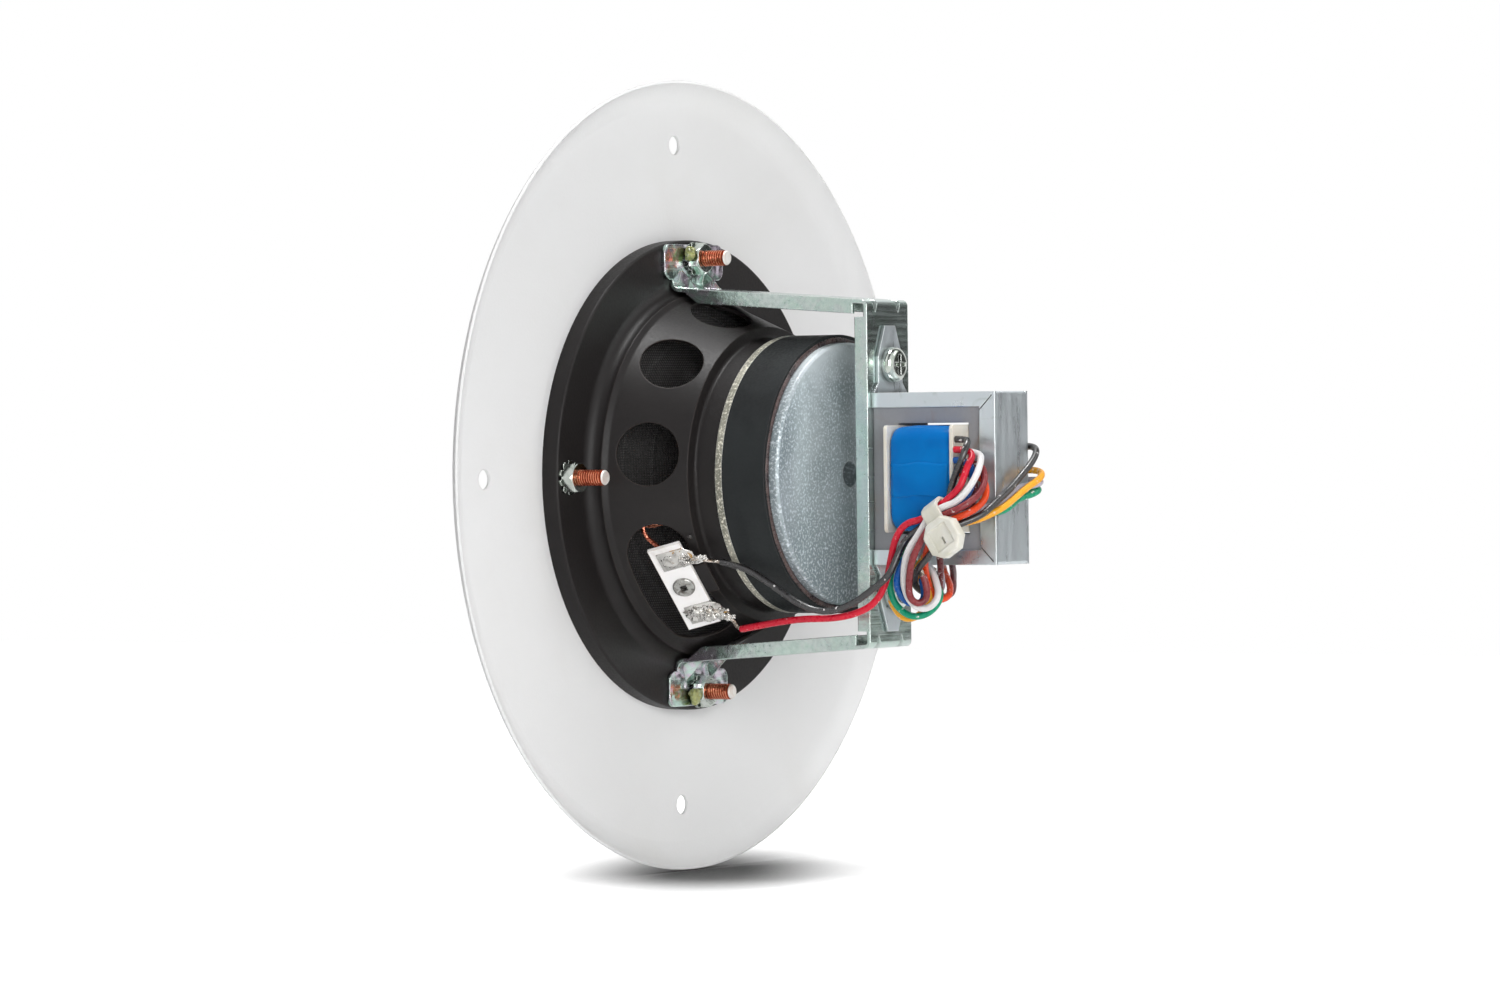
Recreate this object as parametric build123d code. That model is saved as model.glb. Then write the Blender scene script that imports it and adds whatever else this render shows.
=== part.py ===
from build123d import *
from math import asin, atan2, cos, degrees, hypot, pi, radians, sin, sqrt, tan
import os

# A round ceiling loudspeaker with a line transformer, lying on its front face.
# Millimetres. The origin is at the middle of the baffle's front face, +Z points
# up into the ceiling void, and the transformer's bracket spans along X.

# Clearances
running_gap = 0.3
bolt_gap = 0.3
window_gap = 0.2

# Share of a run that a bend in a wire takes up
arc_share = 0.45

# Baffle, one round steel sheet with its rim curved back towards the ceiling
baffle_diameter = 200.0
baffle_sheet = 0.8
baffle_lip_width = 7.0
baffle_lip_rise = 3.9
mounting_hole_diameter = 4.8
mounting_hole_circle = 167.4
sound_field_diameter = 92.0
sound_hole_diameter = 5.0
sound_hole_pitch = 8.5

# Weld studs and lock nuts that hold the driver and the bracket
stud_diameter = 4.0
stud_length = 15.95
stud_circle = 109.6
stud_tip_chamfer = 0.4
stud_root_diameter = 5.2
stud_root_thickness = 0.6
nut_across_flats = 7.0
nut_height = 3.0
nut_chamfer = 0.5
tooth_washer_diameter = 8.6
tooth_washer_thickness = 0.7
tooth_count = 10
tooth_depth = 0.9
paint_dab_diameter = 5.0
paint_dab_offset = 1.0

# Driver basket, one black steel stamping
basket_diameter = 119.0
basket_sheet = 0.8
basket_rim_height = 4.6
basket_step_radius = 45.9
basket_step_height = 9.4
basket_step_fold = 3.2
basket_bead_set = 1.2
basket_rim_fold = 0.6
basket_shoulder_fold = 1.2
basket_ledge_fold = 0.8
basket_seat_fold = 1.2
basket_neck_draft = 0.6
basket_cone_top_radius = 37.1
basket_cone_top_height = 28.1
basket_seat_height = 34.7
basket_seat_bore = 24.0
basket_window_diameter = 15.8
basket_window_height = 18.6
basket_window_spacing = 36.0
basket_first_window = 8.0
kidney_angle = -46.0
kidney_span = 36.0
ledge_depth = 2.7
ledge_rise = 0.5

# Diaphragm and suspension
gasket_clearance = 0.6
surround_sheet = 0.5
surround_roll_radius = 3.0
surround_roll_drop = 1.8
surround_lip = 2.0
cone_sheet = 0.5
cone_mouth_radius = 43.4
cone_neck_height = 20.6
dust_cap_diameter = 30.0
dust_cap_rise = 5.5
dust_cap_sheet = 0.5
spider_sheet = 0.4
spider_wave = 1.4
spider_waves = 4
spider_flat = 2.4

# Voice coil and magnet
former_bore = 20.0
former_sheet = 0.25
former_top_height = 38.6
coil_height = 6.0
coil_thickness = 0.5
magnet_diameter = 69.6
magnet_bore = 32.0
top_plate_thickness = 2.0
magnet_thickness = 12.45
yoke_inset = 2.0
yoke_thickness = 2.8
yoke_chamfer = 0.6
vent_diameter = 6.5
glue_height = 0.6
glue_width = 1.6

# Transformer bracket, one zinc plated steel strip bent to a U
bracket_sheet = 1.0
bracket_width = 19.0
bracket_height = 63.5
bracket_base_half = 43.2
bracket_step_gap = 0.5
bracket_foot_edge = 3.6
bracket_foot_width = 26.0
bracket_foot_corner = 2.5
bracket_foot_fold = 3.0
bracket_base_fold = 1.6
bracket_flange_depth = 2.6
bracket_flange_start = 9.0
bracket_flange_run = 4.0
bracket_flange_notch = 3.2
foot_rib_reach = 4.6
base_rib_reach = 2.4
rib_slope = 0.62
rib_wall = 0.9
rib_bite = 0.5
rib_corner_cut = 0.9
rib_places = (-5.5, 5.0)

# Line transformer in its channel strap
transformer_offset = 1.2
core_width = 41.0
core_height = 35.0
core_stack = 13.8
core_limb = 6.83
core_window = 20.5
strap_sheet = 0.8
strap_side_flange = 3.7
strap_web_flange = 4.5
ear_reach = 38.0
ear_widest = 11.0
ear_tip = 4.6
ear_shoulder = 2.5
ear_nose = 2.0
mitre_gap = 0.25
strap_screw_spacing = 56.6
screw_diameter = 4.0
screw_head_diameter = 8.8
screw_head_height = 2.8
screw_nut_height = 2.4
screw_run_out = 0.6
screw_cross_length = 5.0
screw_cross_width = 1.0
screw_cross_depth = 1.4
bobbin_sheet = 1.0
bobbin_half_x = 13.2
bobbin_half_y = 14.1
bobbin_corner = 1.0
winding_inset = 0.9
tape_sheet = 0.4
tape_corner = 3.5

# Terminal strip
strip_angle = -42.2
strip_length = 26.8
strip_width = 8.6
strip_sheet = 0.95
strip_height = 21.6
tongue_width = 9.0
tongue_lift = 0.3
tongue_reach = 12.0
tongue_corner = 2.0
lug_sheet = 0.4
lug_width = 5.6
lug_tail = 6.5
lug_tail_tip = 2.2
lug_inset = 1.6
rivet_diameter = 3.0
rivet_head_diameter = 5.6
rivet_head_height = 0.7
rivet_socket = 1.7
braid_diameter = 1.1
braid_join_radius = 21.0
braid_join_angle = 22.0

# Leads, all of one size, and the cable tie round their bundle
lead_diameter = 1.7
tie_middle = (11.7, -18.6, 91.7)
tie_across = (0.84, 0, 0.5426)
tie_along = (0.5426, 0, -0.84)
tie_bundle = ((-2.9, 1.8), (3.15, 1.8), (1.7, -2.0), (-0.9, -2.5), (-3.4, -1.9), (-3.9, 0))
tie_width = 4.8
tie_sheet = 0.9
tie_clearance = 0.23
tie_head_side = 9.4
tie_head_place = (4.75, -0.7)
tie_head_base = 3.3
tie_head_height = 3.0
tie_head_corner = 2.4
tie_head_edge = 0.5
tie_recess_side = 5.6
tie_recess_depth = 0.5
tie_pawl = (1.8, 0.6, 2.0)

# Derived levels and radii, all measured from the baffle's front face
deck = baffle_sheet
flange_top = deck + basket_rim_height
step_top = deck + basket_step_height
cone_wall_top = deck + basket_cone_top_height
seat_top = deck + basket_seat_height
top_plate_back = seat_top + top_plate_thickness
magnet_back = top_plate_back + magnet_thickness
yoke_back = magnet_back + yoke_thickness
bracket_top = deck + bracket_height
bracket_under = bracket_top - bracket_sheet
basket_bead_radius = basket_step_radius - basket_bead_set
bracket_foot_reach = stud_circle / 2 + bracket_foot_edge
bracket_foot_half = basket_step_radius + bracket_step_gap + bracket_sheet
basket_neck_radius = basket_cone_top_radius - ledge_depth
gasket_height = basket_rim_height - basket_sheet - surround_sheet
former_radius = former_bore / 2
former_outside = former_radius + former_sheet
pole_radius = former_radius - running_gap
coil_outside = former_outside + coil_thickness
gap_radius = coil_outside + running_gap
yoke_radius = magnet_diameter / 2 - yoke_inset
four_ways = {"right": 0, "far": 90, "left": 180, "near": 270}
wall_lean = degrees(atan2(basket_bead_radius - basket_cone_top_radius, cone_wall_top - step_top))

nodes = {}


# Shared shapes


def ring(outer_radius, inner_radius, base, height):
    """A flat ring that stands on the level base."""
    return Pos(0, 0, base) * extrude(Circle(outer_radius) - Circle(inner_radius), amount=height)


def disc(radius, base, height):
    """A round disc or shaft that stands on the level base."""
    return Pos(0, 0, base) * extrude(Circle(radius), amount=height)


def sheet_section(points, radii, sheet, side):
    """Section of a bent sheet, drawn on XZ along one of its two faces."""
    line = FilletPolyline(*points, radius=radii)
    outline = Wire(line.edges()).offset_2d(sheet, side=side, closed=True)
    return Plane.XZ * make_face(outline.edges())


def spun(section):
    """A full turn of a section about the speaker's axis."""
    return revolve(section, axis=Axis.Z)


def wall_radius(height):
    """Outside radius of the basket's conical wall at a level."""
    return basket_bead_radius - (height - step_top) * tan(radians(wall_lean))


def wall_frame(angle, height):
    """Place on the conical wall: X along the rim, Y up the wall, Z outwards."""
    turned = radians(angle)
    outwards = Vector(cos(turned), sin(turned), tan(radians(wall_lean)))
    along = Vector(-sin(turned), cos(turned), 0)
    radius = wall_radius(height)
    spot = (radius * cos(turned), radius * sin(turned), height)
    return Plane(origin=spot, x_dir=along, z_dir=outwards)


def four_circles(pitch_circle, diameter):
    """Four circles on a pitch circle, one on each side of the speaker."""
    spot = Pos(pitch_circle / 2, 0) * Circle(diameter / 2)
    return Sketch() + [Rot(0, 0, angle) * spot for angle in four_ways.values()]


def compass(near_angle):
    """Turn an angle counted from the near side towards -X into one from +X."""
    return 270 - near_angle


# Baffle and its fixings


def sound_holes():
    """Centres of the staggered sound holes."""
    reach = int(sound_field_diameter / sound_hole_pitch)
    row_pitch = sound_hole_pitch * sqrt(3) / 2
    places = []
    for row in range(-reach, reach + 1):
        for column in range(-reach, reach + 1):
            x = sound_hole_pitch * (column + (row % 2) / 2)
            y = row_pitch * row
            if hypot(x, y) <= (sound_field_diameter - sound_hole_diameter) / 2:
                places.append((x, y))
    return places


def make_baffle():
    """Flat round sheet with a curved rim, sound holes and fixing holes."""
    outside = baffle_diameter / 2
    lip_radius = (baffle_lip_width ** 2 + baffle_lip_rise ** 2) / (2 * baffle_lip_rise)
    lip_turn = asin(baffle_lip_width / lip_radius)
    flat_end = outside - baffle_lip_width
    lip_middle = (flat_end + lip_radius * sin(lip_turn / 2), lip_radius * (1 - cos(lip_turn / 2)))
    front_face = [
        Line((0, 0), (flat_end, 0)),
        ThreePointArc((flat_end, 0), lip_middle, (outside, baffle_lip_rise)),
    ]
    outline = Wire(front_face).offset_2d(baffle_sheet, side=Side.LEFT, closed=True)
    plate = spun(Plane.XZ * make_face(outline.edges()))
    punches = four_circles(mounting_hole_circle, mounting_hole_diameter)
    punches += [Pos(x, y) * Circle(sound_hole_diameter / 2) for x, y in sound_holes()]
    return plate - extrude(punches, amount=2 * baffle_sheet, both=True)


def make_stud():
    """Copper plated weld stud with its root bead on the baffle's back face."""
    shank = disc(stud_diameter / 2, deck, stud_length)
    shank = chamfer(shank.edges().group_by(Axis.Z)[-1], stud_tip_chamfer)
    return shank + disc(stud_root_diameter / 2, deck, stud_root_thickness)


def make_tooth_washer(base):
    """External tooth washer, its teeth left between V nicks."""
    washer = ring(tooth_washer_diameter / 2, stud_diameter / 2 + bolt_gap / 2, base, tooth_washer_thickness)
    edge = tooth_washer_diameter / 2
    half_nick = pi * edge / tooth_count / 2
    nick = Polygon((edge - tooth_depth, 0), (edge + 1, -half_nick - 1), (edge + 1, half_nick + 1), align=None)
    nicks = Sketch() + [Rot(0, 0, 360 * index / tooth_count) * nick for index in range(tooth_count)]
    return washer - Pos(0, 0, base) * extrude(nicks, amount=tooth_washer_thickness)


def make_nut(base, height):
    """Hexagon nut with its upper corners turned off."""
    hexagon = RegularPolygon(nut_across_flats / 2, 6, major_radius=False)
    prism = Pos(0, 0, base) * extrude(hexagon, amount=height)
    corner = nut_across_flats / sqrt(3)
    hanging = (Align.CENTER, Align.CENTER, Align.MAX)
    turning = Cone(corner + height, corner - nut_chamfer, height + nut_chamfer, align=hanging)
    nut = prism & Pos(0, 0, base + height) * turning
    return nut - disc(stud_diameter / 2, base, height)


def add_lock_paint():
    """Blobs of lock paint against the near flanks of the bracket's two nuts."""
    level = flange_top + bracket_sheet + paint_dab_diameter / 3
    for side, sign in (("left", -1), ("right", 1)):
        spot = (sign * (stud_circle / 2 + paint_dab_offset), -nut_across_flats / 2, level)
        blob = Pos(*spot) * Sphere(paint_dab_diameter / 2)
        for name in ("weld_stud_", "tooth_washer_", "hex_nut_"):
            blob -= nodes[name + side]
        blob -= nodes["transformer_bracket"]
        nodes["lock_paint_" + side] = max(blob.solids(), key=lambda solid: solid.volume)


def add_fixings():
    """Four studs, tooth washers and nuts, and the paint on the bracket's two nuts."""
    for side, angle in four_ways.items():
        place = Rot(0, 0, angle) * Pos(stud_circle / 2, 0, 0)
        on_bracket = side in ("left", "right")
        base = flange_top + (bracket_sheet if on_bracket else 0)
        nodes["weld_stud_" + side] = place * make_stud()
        nodes["tooth_washer_" + side] = place * make_tooth_washer(base)
        nodes["hex_nut_" + side] = place * make_nut(base + tooth_washer_thickness, nut_height)


# Driver


def basket_line():
    """Outer face of the basket's section, from the rim's foot to the seat's bore."""
    rim = basket_diameter / 2
    return [
        (rim, deck),
        (rim, flange_top),
        (basket_step_radius, flange_top),
        (basket_step_radius, step_top - basket_bead_set),
        (basket_bead_radius, step_top),
        (basket_cone_top_radius, cone_wall_top),
        (basket_neck_radius, cone_wall_top + ledge_rise),
        (basket_neck_radius - basket_neck_draft, seat_top),
        (basket_seat_bore / 2, seat_top),
    ]


def make_basket():
    """Stamped basket: flange, step, conical wall with windows, spider ledge and seat."""
    low_folds = [basket_rim_fold, basket_step_fold, 0, basket_shoulder_fold]
    folds = low_folds + [0, basket_ledge_fold, basket_seat_fold]
    shell = spun(sheet_section(basket_line(), folds, basket_sheet, Side.LEFT))
    level = deck + basket_window_height
    punch = extrude(Circle(basket_window_diameter / 2), amount=4 * basket_sheet, both=True)
    for index in range(10):
        turned = compass(basket_first_window + index * basket_window_spacing)
        shell -= wall_frame(turned, level).location * punch
    band = Plane.XZ * Pos(wall_radius(level), level) * Rot(0, 0, wall_lean)
    band *= Rectangle(8 * basket_sheet, basket_window_diameter)
    first = compass(kidney_angle + kidney_span / 2)
    shell -= Rot(0, 0, first) * revolve(band, axis=Axis.Z, revolution_arc=kidney_span)
    tongue = Rectangle(tongue_width, tongue_reach)
    tongue = fillet(tongue.vertices().group_by(Axis.Y)[0], tongue_corner)
    seat = wall_frame(compass(strip_angle), deck + strip_height)
    lifted = extrude(tongue, amount=basket_sheet)
    shell += seat.location * Pos(0, (tongue_reach - strip_width) / 2, tongue_lift - basket_sheet) * lifted
    bores = four_circles(stud_circle, stud_diameter + 2 * bolt_gap)
    return shell - Pos(0, 0, deck) * extrude(bores, amount=basket_rim_height)


def make_gasket():
    """Board ring that fills the flange below the surround's edge."""
    outside = basket_diameter / 2 - basket_sheet - window_gap
    inside = cone_mouth_radius + 2 * surround_roll_radius + gasket_clearance
    gasket = ring(outside, inside, deck, gasket_height)
    bores = four_circles(stud_circle, stud_root_diameter + 2 * bolt_gap)
    return gasket - Pos(0, 0, deck) * extrude(bores, amount=gasket_height)


def make_surround():
    """Cloth surround: a flat glued edge and one half roll."""
    level = deck + gasket_height
    outside = basket_diameter / 2 - basket_sheet - window_gap
    roll_outside = cone_mouth_radius + 2 * surround_roll_radius
    line = [
        Line((outside, level), (roll_outside, level)),
        ThreePointArc(
            (roll_outside, level),
            (cone_mouth_radius + surround_roll_radius, level - surround_roll_drop),
            (cone_mouth_radius, level),
        ),
        Line((cone_mouth_radius, level), (cone_mouth_radius - surround_lip, level)),
    ]
    outline = Wire(line).offset_2d(surround_sheet, side=Side.RIGHT, closed=True)
    surround = spun(Plane.XZ * make_face(outline.edges()))
    bores = four_circles(stud_circle, stud_diameter + 2 * bolt_gap)
    return surround - Pos(0, 0, level) * extrude(bores, amount=surround_sheet)


cone_mouth_level = deck + gasket_height
cone_neck_level = deck + cone_neck_height


def cone_level(radius):
    """Level of the cone's back face at a radius."""
    share = (cone_mouth_radius - radius) / (cone_mouth_radius - former_outside)
    return cone_mouth_level + share * (cone_neck_level - cone_mouth_level)


def make_cone():
    """Paper cone with a flat lip at its mouth, under the surround's inner edge."""
    lip = cone_mouth_radius - surround_lip - cone_sheet
    line = [(cone_mouth_radius, cone_mouth_level), (lip, cone_mouth_level), (former_outside, cone_neck_level)]
    paper = spun(sheet_section(line, [0], cone_sheet, Side.LEFT))
    return paper - disc(former_outside, deck, seat_top)


def make_dust_cap():
    """Dome that closes the voice coil from the front."""
    edge = dust_cap_diameter / 2
    radius = (edge ** 2 + dust_cap_rise ** 2) / (2 * dust_cap_rise)
    rim = cone_level(edge) - 2 * cone_sheet
    middle = rim - dust_cap_rise + radius
    dome = Sphere(radius) - Sphere(radius - dust_cap_sheet)
    dome = Pos(0, 0, middle) * dome
    return dome & disc(edge + dust_cap_sheet, rim - dust_cap_rise, dust_cap_rise)


def make_spider():
    """Waved cloth disc that centres the voice coil under the basket's ledge."""
    outside = basket_neck_radius - basket_sheet
    level = cone_wall_top + ledge_rise - basket_sheet - spider_sheet - spider_wave
    start = former_outside
    pitch = (outside - start - 2 * spider_flat) / (2 * spider_waves)
    line = [(start, level), (start + spider_flat, level)]
    for index in range(2 * spider_waves - 1):
        lift = spider_wave / 2 if index % 2 == 0 else -spider_wave / 2
        line.append((start + spider_flat + (index + 1) * pitch, level + lift))
    line += [(outside - spider_flat, level), (outside, level)]
    return spun(sheet_section(line, [0] * (len(line) - 2), spider_sheet, Side.LEFT))


def add_driver():
    """Basket, diaphragm, voice coil and magnet."""
    former_base = cone_neck_level - 1.0
    former_top = deck + former_top_height
    nodes["basket"] = make_basket()
    nodes["gasket"] = make_gasket()
    nodes["surround"] = make_surround()
    nodes["cone"] = make_cone()
    nodes["dust_cap"] = make_dust_cap()
    nodes["spider"] = make_spider()
    nodes["coil_former"] = ring(former_outside, former_radius, former_base, former_top - former_base)
    nodes["voice_coil"] = ring(coil_outside, former_outside, former_top - coil_height, coil_height)
    nodes["top_plate"] = ring(magnet_diameter / 2, gap_radius, seat_top, top_plate_thickness)
    nodes["ferrite_magnet"] = ring(magnet_diameter / 2, magnet_bore / 2, top_plate_back, magnet_thickness)
    yoke = disc(yoke_radius, magnet_back, yoke_thickness)
    yoke = chamfer(yoke.edges().group_by(Axis.Z)[-1], yoke_chamfer)
    yoke += disc(pole_radius, seat_top, magnet_back - seat_top)
    nodes["yoke"] = yoke - disc(vent_diameter / 2, seat_top, yoke_back - seat_top)
    nodes["magnet_glue"] = ring(yoke_radius + glue_width, yoke_radius, magnet_back, glue_height)


# Transformer bracket


def leg_inner(level):
    """Inner face of the right bracket leg at a level."""
    foot_inner = bracket_foot_half - bracket_sheet
    base_inner = bracket_base_half - bracket_sheet
    share = (level - flange_top) / (bracket_under - flange_top)
    return foot_inner + share * (base_inner - foot_inner)


def pressed_rib(corner, way, reach):
    """Ridge pressed across a fold on its hollow side, and the dent behind it, at Y 0."""
    x, z = corner
    middle = (x + way * reach / 2, 0, z + way * reach / 2)
    across_fold = Plane(origin=middle, x_dir=(0, 1, 0), z_dir=(way, 0, -way))
    depth = 2 * reach
    width = rib_slope * depth
    roof = Polygon((0, 0), (width, -depth), (-width, -depth), align=None)
    ridge = extrude(across_fold * roof, amount=depth, both=True)
    inset = way * (reach - rib_bite)
    room = Pos(x + inset, 0, z + inset) * Box(2 * reach, 4 * width, 2 * reach)
    fold_edge = room.edges().filter_by(Axis.Y).sort_by_distance((x, 0, z))[0]
    room = chamfer(fold_edge, rib_corner_cut)
    dent = extrude(across_fold * Pos(0, -rib_wall) * roof, amount=depth, both=True)
    edge = reach + 2 * bracket_sheet
    dent &= Pos(x + way * (reach - edge), 0, z + way * (reach - edge)) * Box(2 * edge, 4 * width, 2 * edge)
    return ridge & room, dent


def make_bracket():
    """U shaped strip with turned edges, feet on the studs and folded gussets."""
    base_inner = bracket_base_half - bracket_sheet
    foot_inner = bracket_foot_half - bracket_sheet
    line = [
        (bracket_foot_reach, flange_top),
        (foot_inner, flange_top),
        (base_inner, bracket_under),
        (-base_inner, bracket_under),
        (-foot_inner, flange_top),
        (-bracket_foot_reach, flange_top),
    ]
    inner_fold = bracket_base_fold - bracket_sheet
    folds = [bracket_foot_fold, inner_fold, inner_fold, bracket_foot_fold]
    section = sheet_section(line, folds, bracket_sheet, Side.RIGHT)
    strip = extrude(section, amount=bracket_width / 2, both=True)
    foot_start = foot_inner + bracket_foot_fold
    foot = Rectangle(bracket_foot_reach - foot_start, bracket_foot_width)
    foot = fillet(foot.vertices(), bracket_foot_corner)
    foot_middle = (bracket_foot_reach + foot_start) / 2
    feet = [Pos(side * foot_middle, 0, flange_top) * extrude(foot, amount=bracket_sheet) for side in (-1, 1)]
    leg_low = flange_top + bracket_flange_start - basket_rim_height
    leg_high = bracket_under - bracket_flange_notch
    depth = bracket_flange_depth
    leg = Polygon(
        (leg_inner(leg_low), leg_low),
        (leg_inner(leg_low + bracket_flange_run) - depth, leg_low + bracket_flange_run),
        (leg_inner(leg_high) - depth, leg_high),
        (leg_inner(leg_high), leg_high),
        align=None,
    )
    base_reach = base_inner - bracket_flange_notch
    base = Polygon(
        (-base_reach, bracket_under),
        (-base_reach, bracket_under - depth),
        (base_reach, bracket_under - depth),
        (base_reach, bracket_under),
        align=None,
    )
    turned = extrude(Plane.XZ * leg, amount=bracket_sheet / 2, both=True)
    turned += mirror(turned, Plane.YZ)
    turned += extrude(Plane.XZ * base, amount=bracket_sheet / 2, both=True)
    turned = Pos(0, (bracket_sheet - bracket_width) / 2, 0) * turned
    body = strip + feet + turned + mirror(turned, Plane.XZ)
    for corner, way, reach in (
        ((bracket_foot_half, flange_top + bracket_sheet), 1, foot_rib_reach),
        ((base_inner, bracket_under), -1, base_rib_reach),
    ):
        ridge, dent = pressed_rib(corner, way, reach)
        for place in rib_places:
            for side in (Pos(0, place, 0), Pos(0, place, 0) * Rot(0, 0, 180)):
                body += side * ridge
                body -= side * dent
    hole = disc(stud_diameter / 2 + bolt_gap, flange_top, bracket_sheet)
    body -= [Pos(side * stud_circle / 2, 0, 0) * hole for side in (-1, 1)]
    screw_hole = disc(screw_diameter / 2 + bolt_gap, bracket_under, bracket_sheet)
    for side in (-1, 1):
        body -= Pos(transformer_offset + side * strap_screw_spacing / 2, 0, 0) * screw_hole
    return body


# Transformer


def make_core():
    """Lamination stack: a rectangle with the two coil windows through it."""
    outline = Rectangle(core_width, core_height)
    window = Rectangle((core_width - 4 * core_limb) / 2, core_window)
    shift = (core_width - 2 * core_limb - (core_width - 4 * core_limb) / 2) / 2
    outline -= Pos(shift, 0) * window
    outline -= Pos(-shift, 0) * window
    stack = extrude(Plane.XZ * outline, amount=core_stack / 2, both=True)
    return Pos(0, 0, bracket_top + core_height / 2) * stack


def make_strap():
    """Channel strap over the core, with turned edges and two screw ears."""
    half = core_width / 2
    top = bracket_top + core_height
    line = [(-ear_reach, bracket_top), (-half, bracket_top), (-half, top), (half, top), (half, bracket_top),
            (ear_reach, bracket_top)]
    section = sheet_section(line, [0, 0, 0, 0], strap_sheet, Side.LEFT)
    width = core_stack + 2 * strap_sheet
    channel = extrude(section, amount=width / 2, both=True)
    outer = half + strap_sheet
    ear_widens = outer + ear_shoulder
    ear_narrows = strap_screw_spacing / 2 + ear_nose
    ear = Polygon(
        (outer, -width / 2),
        (ear_widens, -ear_widest / 2),
        (ear_narrows, -ear_widest / 2),
        (ear_reach, -ear_tip / 2),
        (ear_reach, ear_tip / 2),
        (ear_narrows, ear_widest / 2),
        (ear_widens, ear_widest / 2),
        (outer, width / 2),
        align=None,
    )
    keep = Sketch() + Rectangle(2 * outer, width) + ear + mirror(ear, Plane.YZ)
    channel &= Pos(0, 0, bracket_top) * extrude(keep, amount=core_height + strap_sheet)
    flange_line = -(core_stack + strap_sheet) / 2
    seam_length = 2 * strap_web_flange
    face = Plane.XZ * Polygon(
        (-outer, bracket_top),
        (-outer, top + strap_sheet),
        (outer, top + strap_sheet),
        (outer, bracket_top),
        (outer - strap_side_flange, bracket_top),
        (outer - strap_side_flange, top + strap_sheet - strap_web_flange),
        (strap_side_flange - outer, top + strap_sheet - strap_web_flange),
        (strap_side_flange - outer, bracket_top),
        align=None,
    )
    flange = Pos(0, flange_line, 0) * extrude(face, amount=strap_sheet / 2, both=True)
    for side in (-1, 1):
        seam = Pos(side * (outer - strap_sheet), flange_line, top) * Rot(0, side * 45, 0)
        flange -= seam * Pos(0, 0, -seam_length / 2) * Box(mitre_gap, 2 * strap_sheet, seam_length)
    strap = channel + flange + mirror(flange, Plane.XZ)
    hole = disc(screw_diameter / 2 + bolt_gap, bracket_top, strap_sheet)
    return strap - [Pos(side * strap_screw_spacing / 2, 0, 0) * hole for side in (-1, 1)]


def coil_block(half_x, half_y, base, height, corner):
    """Rounded block round the core's middle limb."""
    outline = Rectangle(2 * half_x, 2 * half_y)
    if corner:
        outline = fillet(outline.vertices(), corner)
    return Pos(0, 0, base) * extrude(outline, amount=height)


def add_transformer():
    """Core, strap, bobbin, winding and tape, and the two screws with their nuts."""
    place = Pos(transformer_offset, 0, 0)
    nodes["core_laminations"] = place * make_core()
    nodes["core_strap"] = place * make_strap()
    window_base = bracket_top + (core_height - core_window) / 2 + window_gap
    coil_length = core_window - 2 * window_gap
    limb_hole = coil_block(core_limb + window_gap, core_stack / 2 + window_gap, window_base, coil_length, 0)
    tube_x = core_limb + window_gap + bobbin_sheet
    tube_y = core_stack / 2 + window_gap + bobbin_sheet
    bobbin = coil_block(tube_x, tube_y, window_base, coil_length, 0)
    for base in (window_base, window_base + coil_length - bobbin_sheet):
        bobbin += coil_block(bobbin_half_x, bobbin_half_y, base, bobbin_sheet, bobbin_corner)
    nodes["bobbin"] = place * (bobbin - limb_hole)
    wound_base = window_base + bobbin_sheet
    wound_length = coil_length - 2 * bobbin_sheet
    wound_x = bobbin_half_x - winding_inset - tape_sheet
    wound_y = bobbin_half_y - winding_inset - tape_sheet
    tube = coil_block(tube_x, tube_y, wound_base, wound_length, 0)
    winding = coil_block(wound_x, wound_y, wound_base, wound_length, tape_corner)
    nodes["winding"] = place * (winding - tube)
    taped_corner = tape_corner + tape_sheet
    tape = coil_block(wound_x + tape_sheet, wound_y + tape_sheet, wound_base, wound_length, taped_corner)
    nodes["insulating_tape"] = place * (tape - winding)
    for side, sign in (("left", -1), ("right", 1)):
        spot = Pos(transformer_offset + sign * strap_screw_spacing / 2, 0, 0)
        seat = bracket_top + strap_sheet
        grip = strap_sheet + bracket_sheet + screw_nut_height + screw_run_out
        screw = disc(screw_head_diameter / 2, seat, screw_head_height)
        screw = fillet(screw.edges().group_by(Axis.Z)[-1], screw_head_height * 0.6)
        arm = Rectangle(screw_cross_length, screw_cross_width)
        cross = arm + Rot(0, 0, 90) * arm
        cross_floor = seat + screw_head_height - screw_cross_depth
        screw -= Pos(0, 0, cross_floor) * extrude(cross, amount=screw_cross_depth)
        screw += disc(screw_diameter / 2, seat - grip, grip)
        nodes["strap_screw_" + side] = spot * screw
        nodes["strap_nut_" + side] = spot * make_nut(bracket_under - screw_nut_height, screw_nut_height)


# Terminal strip


def make_lug():
    """Tinned lug: a pad on the strip and a tapered tail past its edge, drawn on XY."""
    half = lug_width / 2
    low = lug_inset - strip_width / 2
    edge = strip_width / 2
    outline = Polygon(
        (-half, low),
        (half, low),
        (half, edge),
        (lug_tail_tip / 2, edge + lug_tail),
        (-lug_tail_tip / 2, edge + lug_tail),
        (-half, edge),
        align=None,
    )
    return extrude(outline, amount=lug_sheet)


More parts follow.
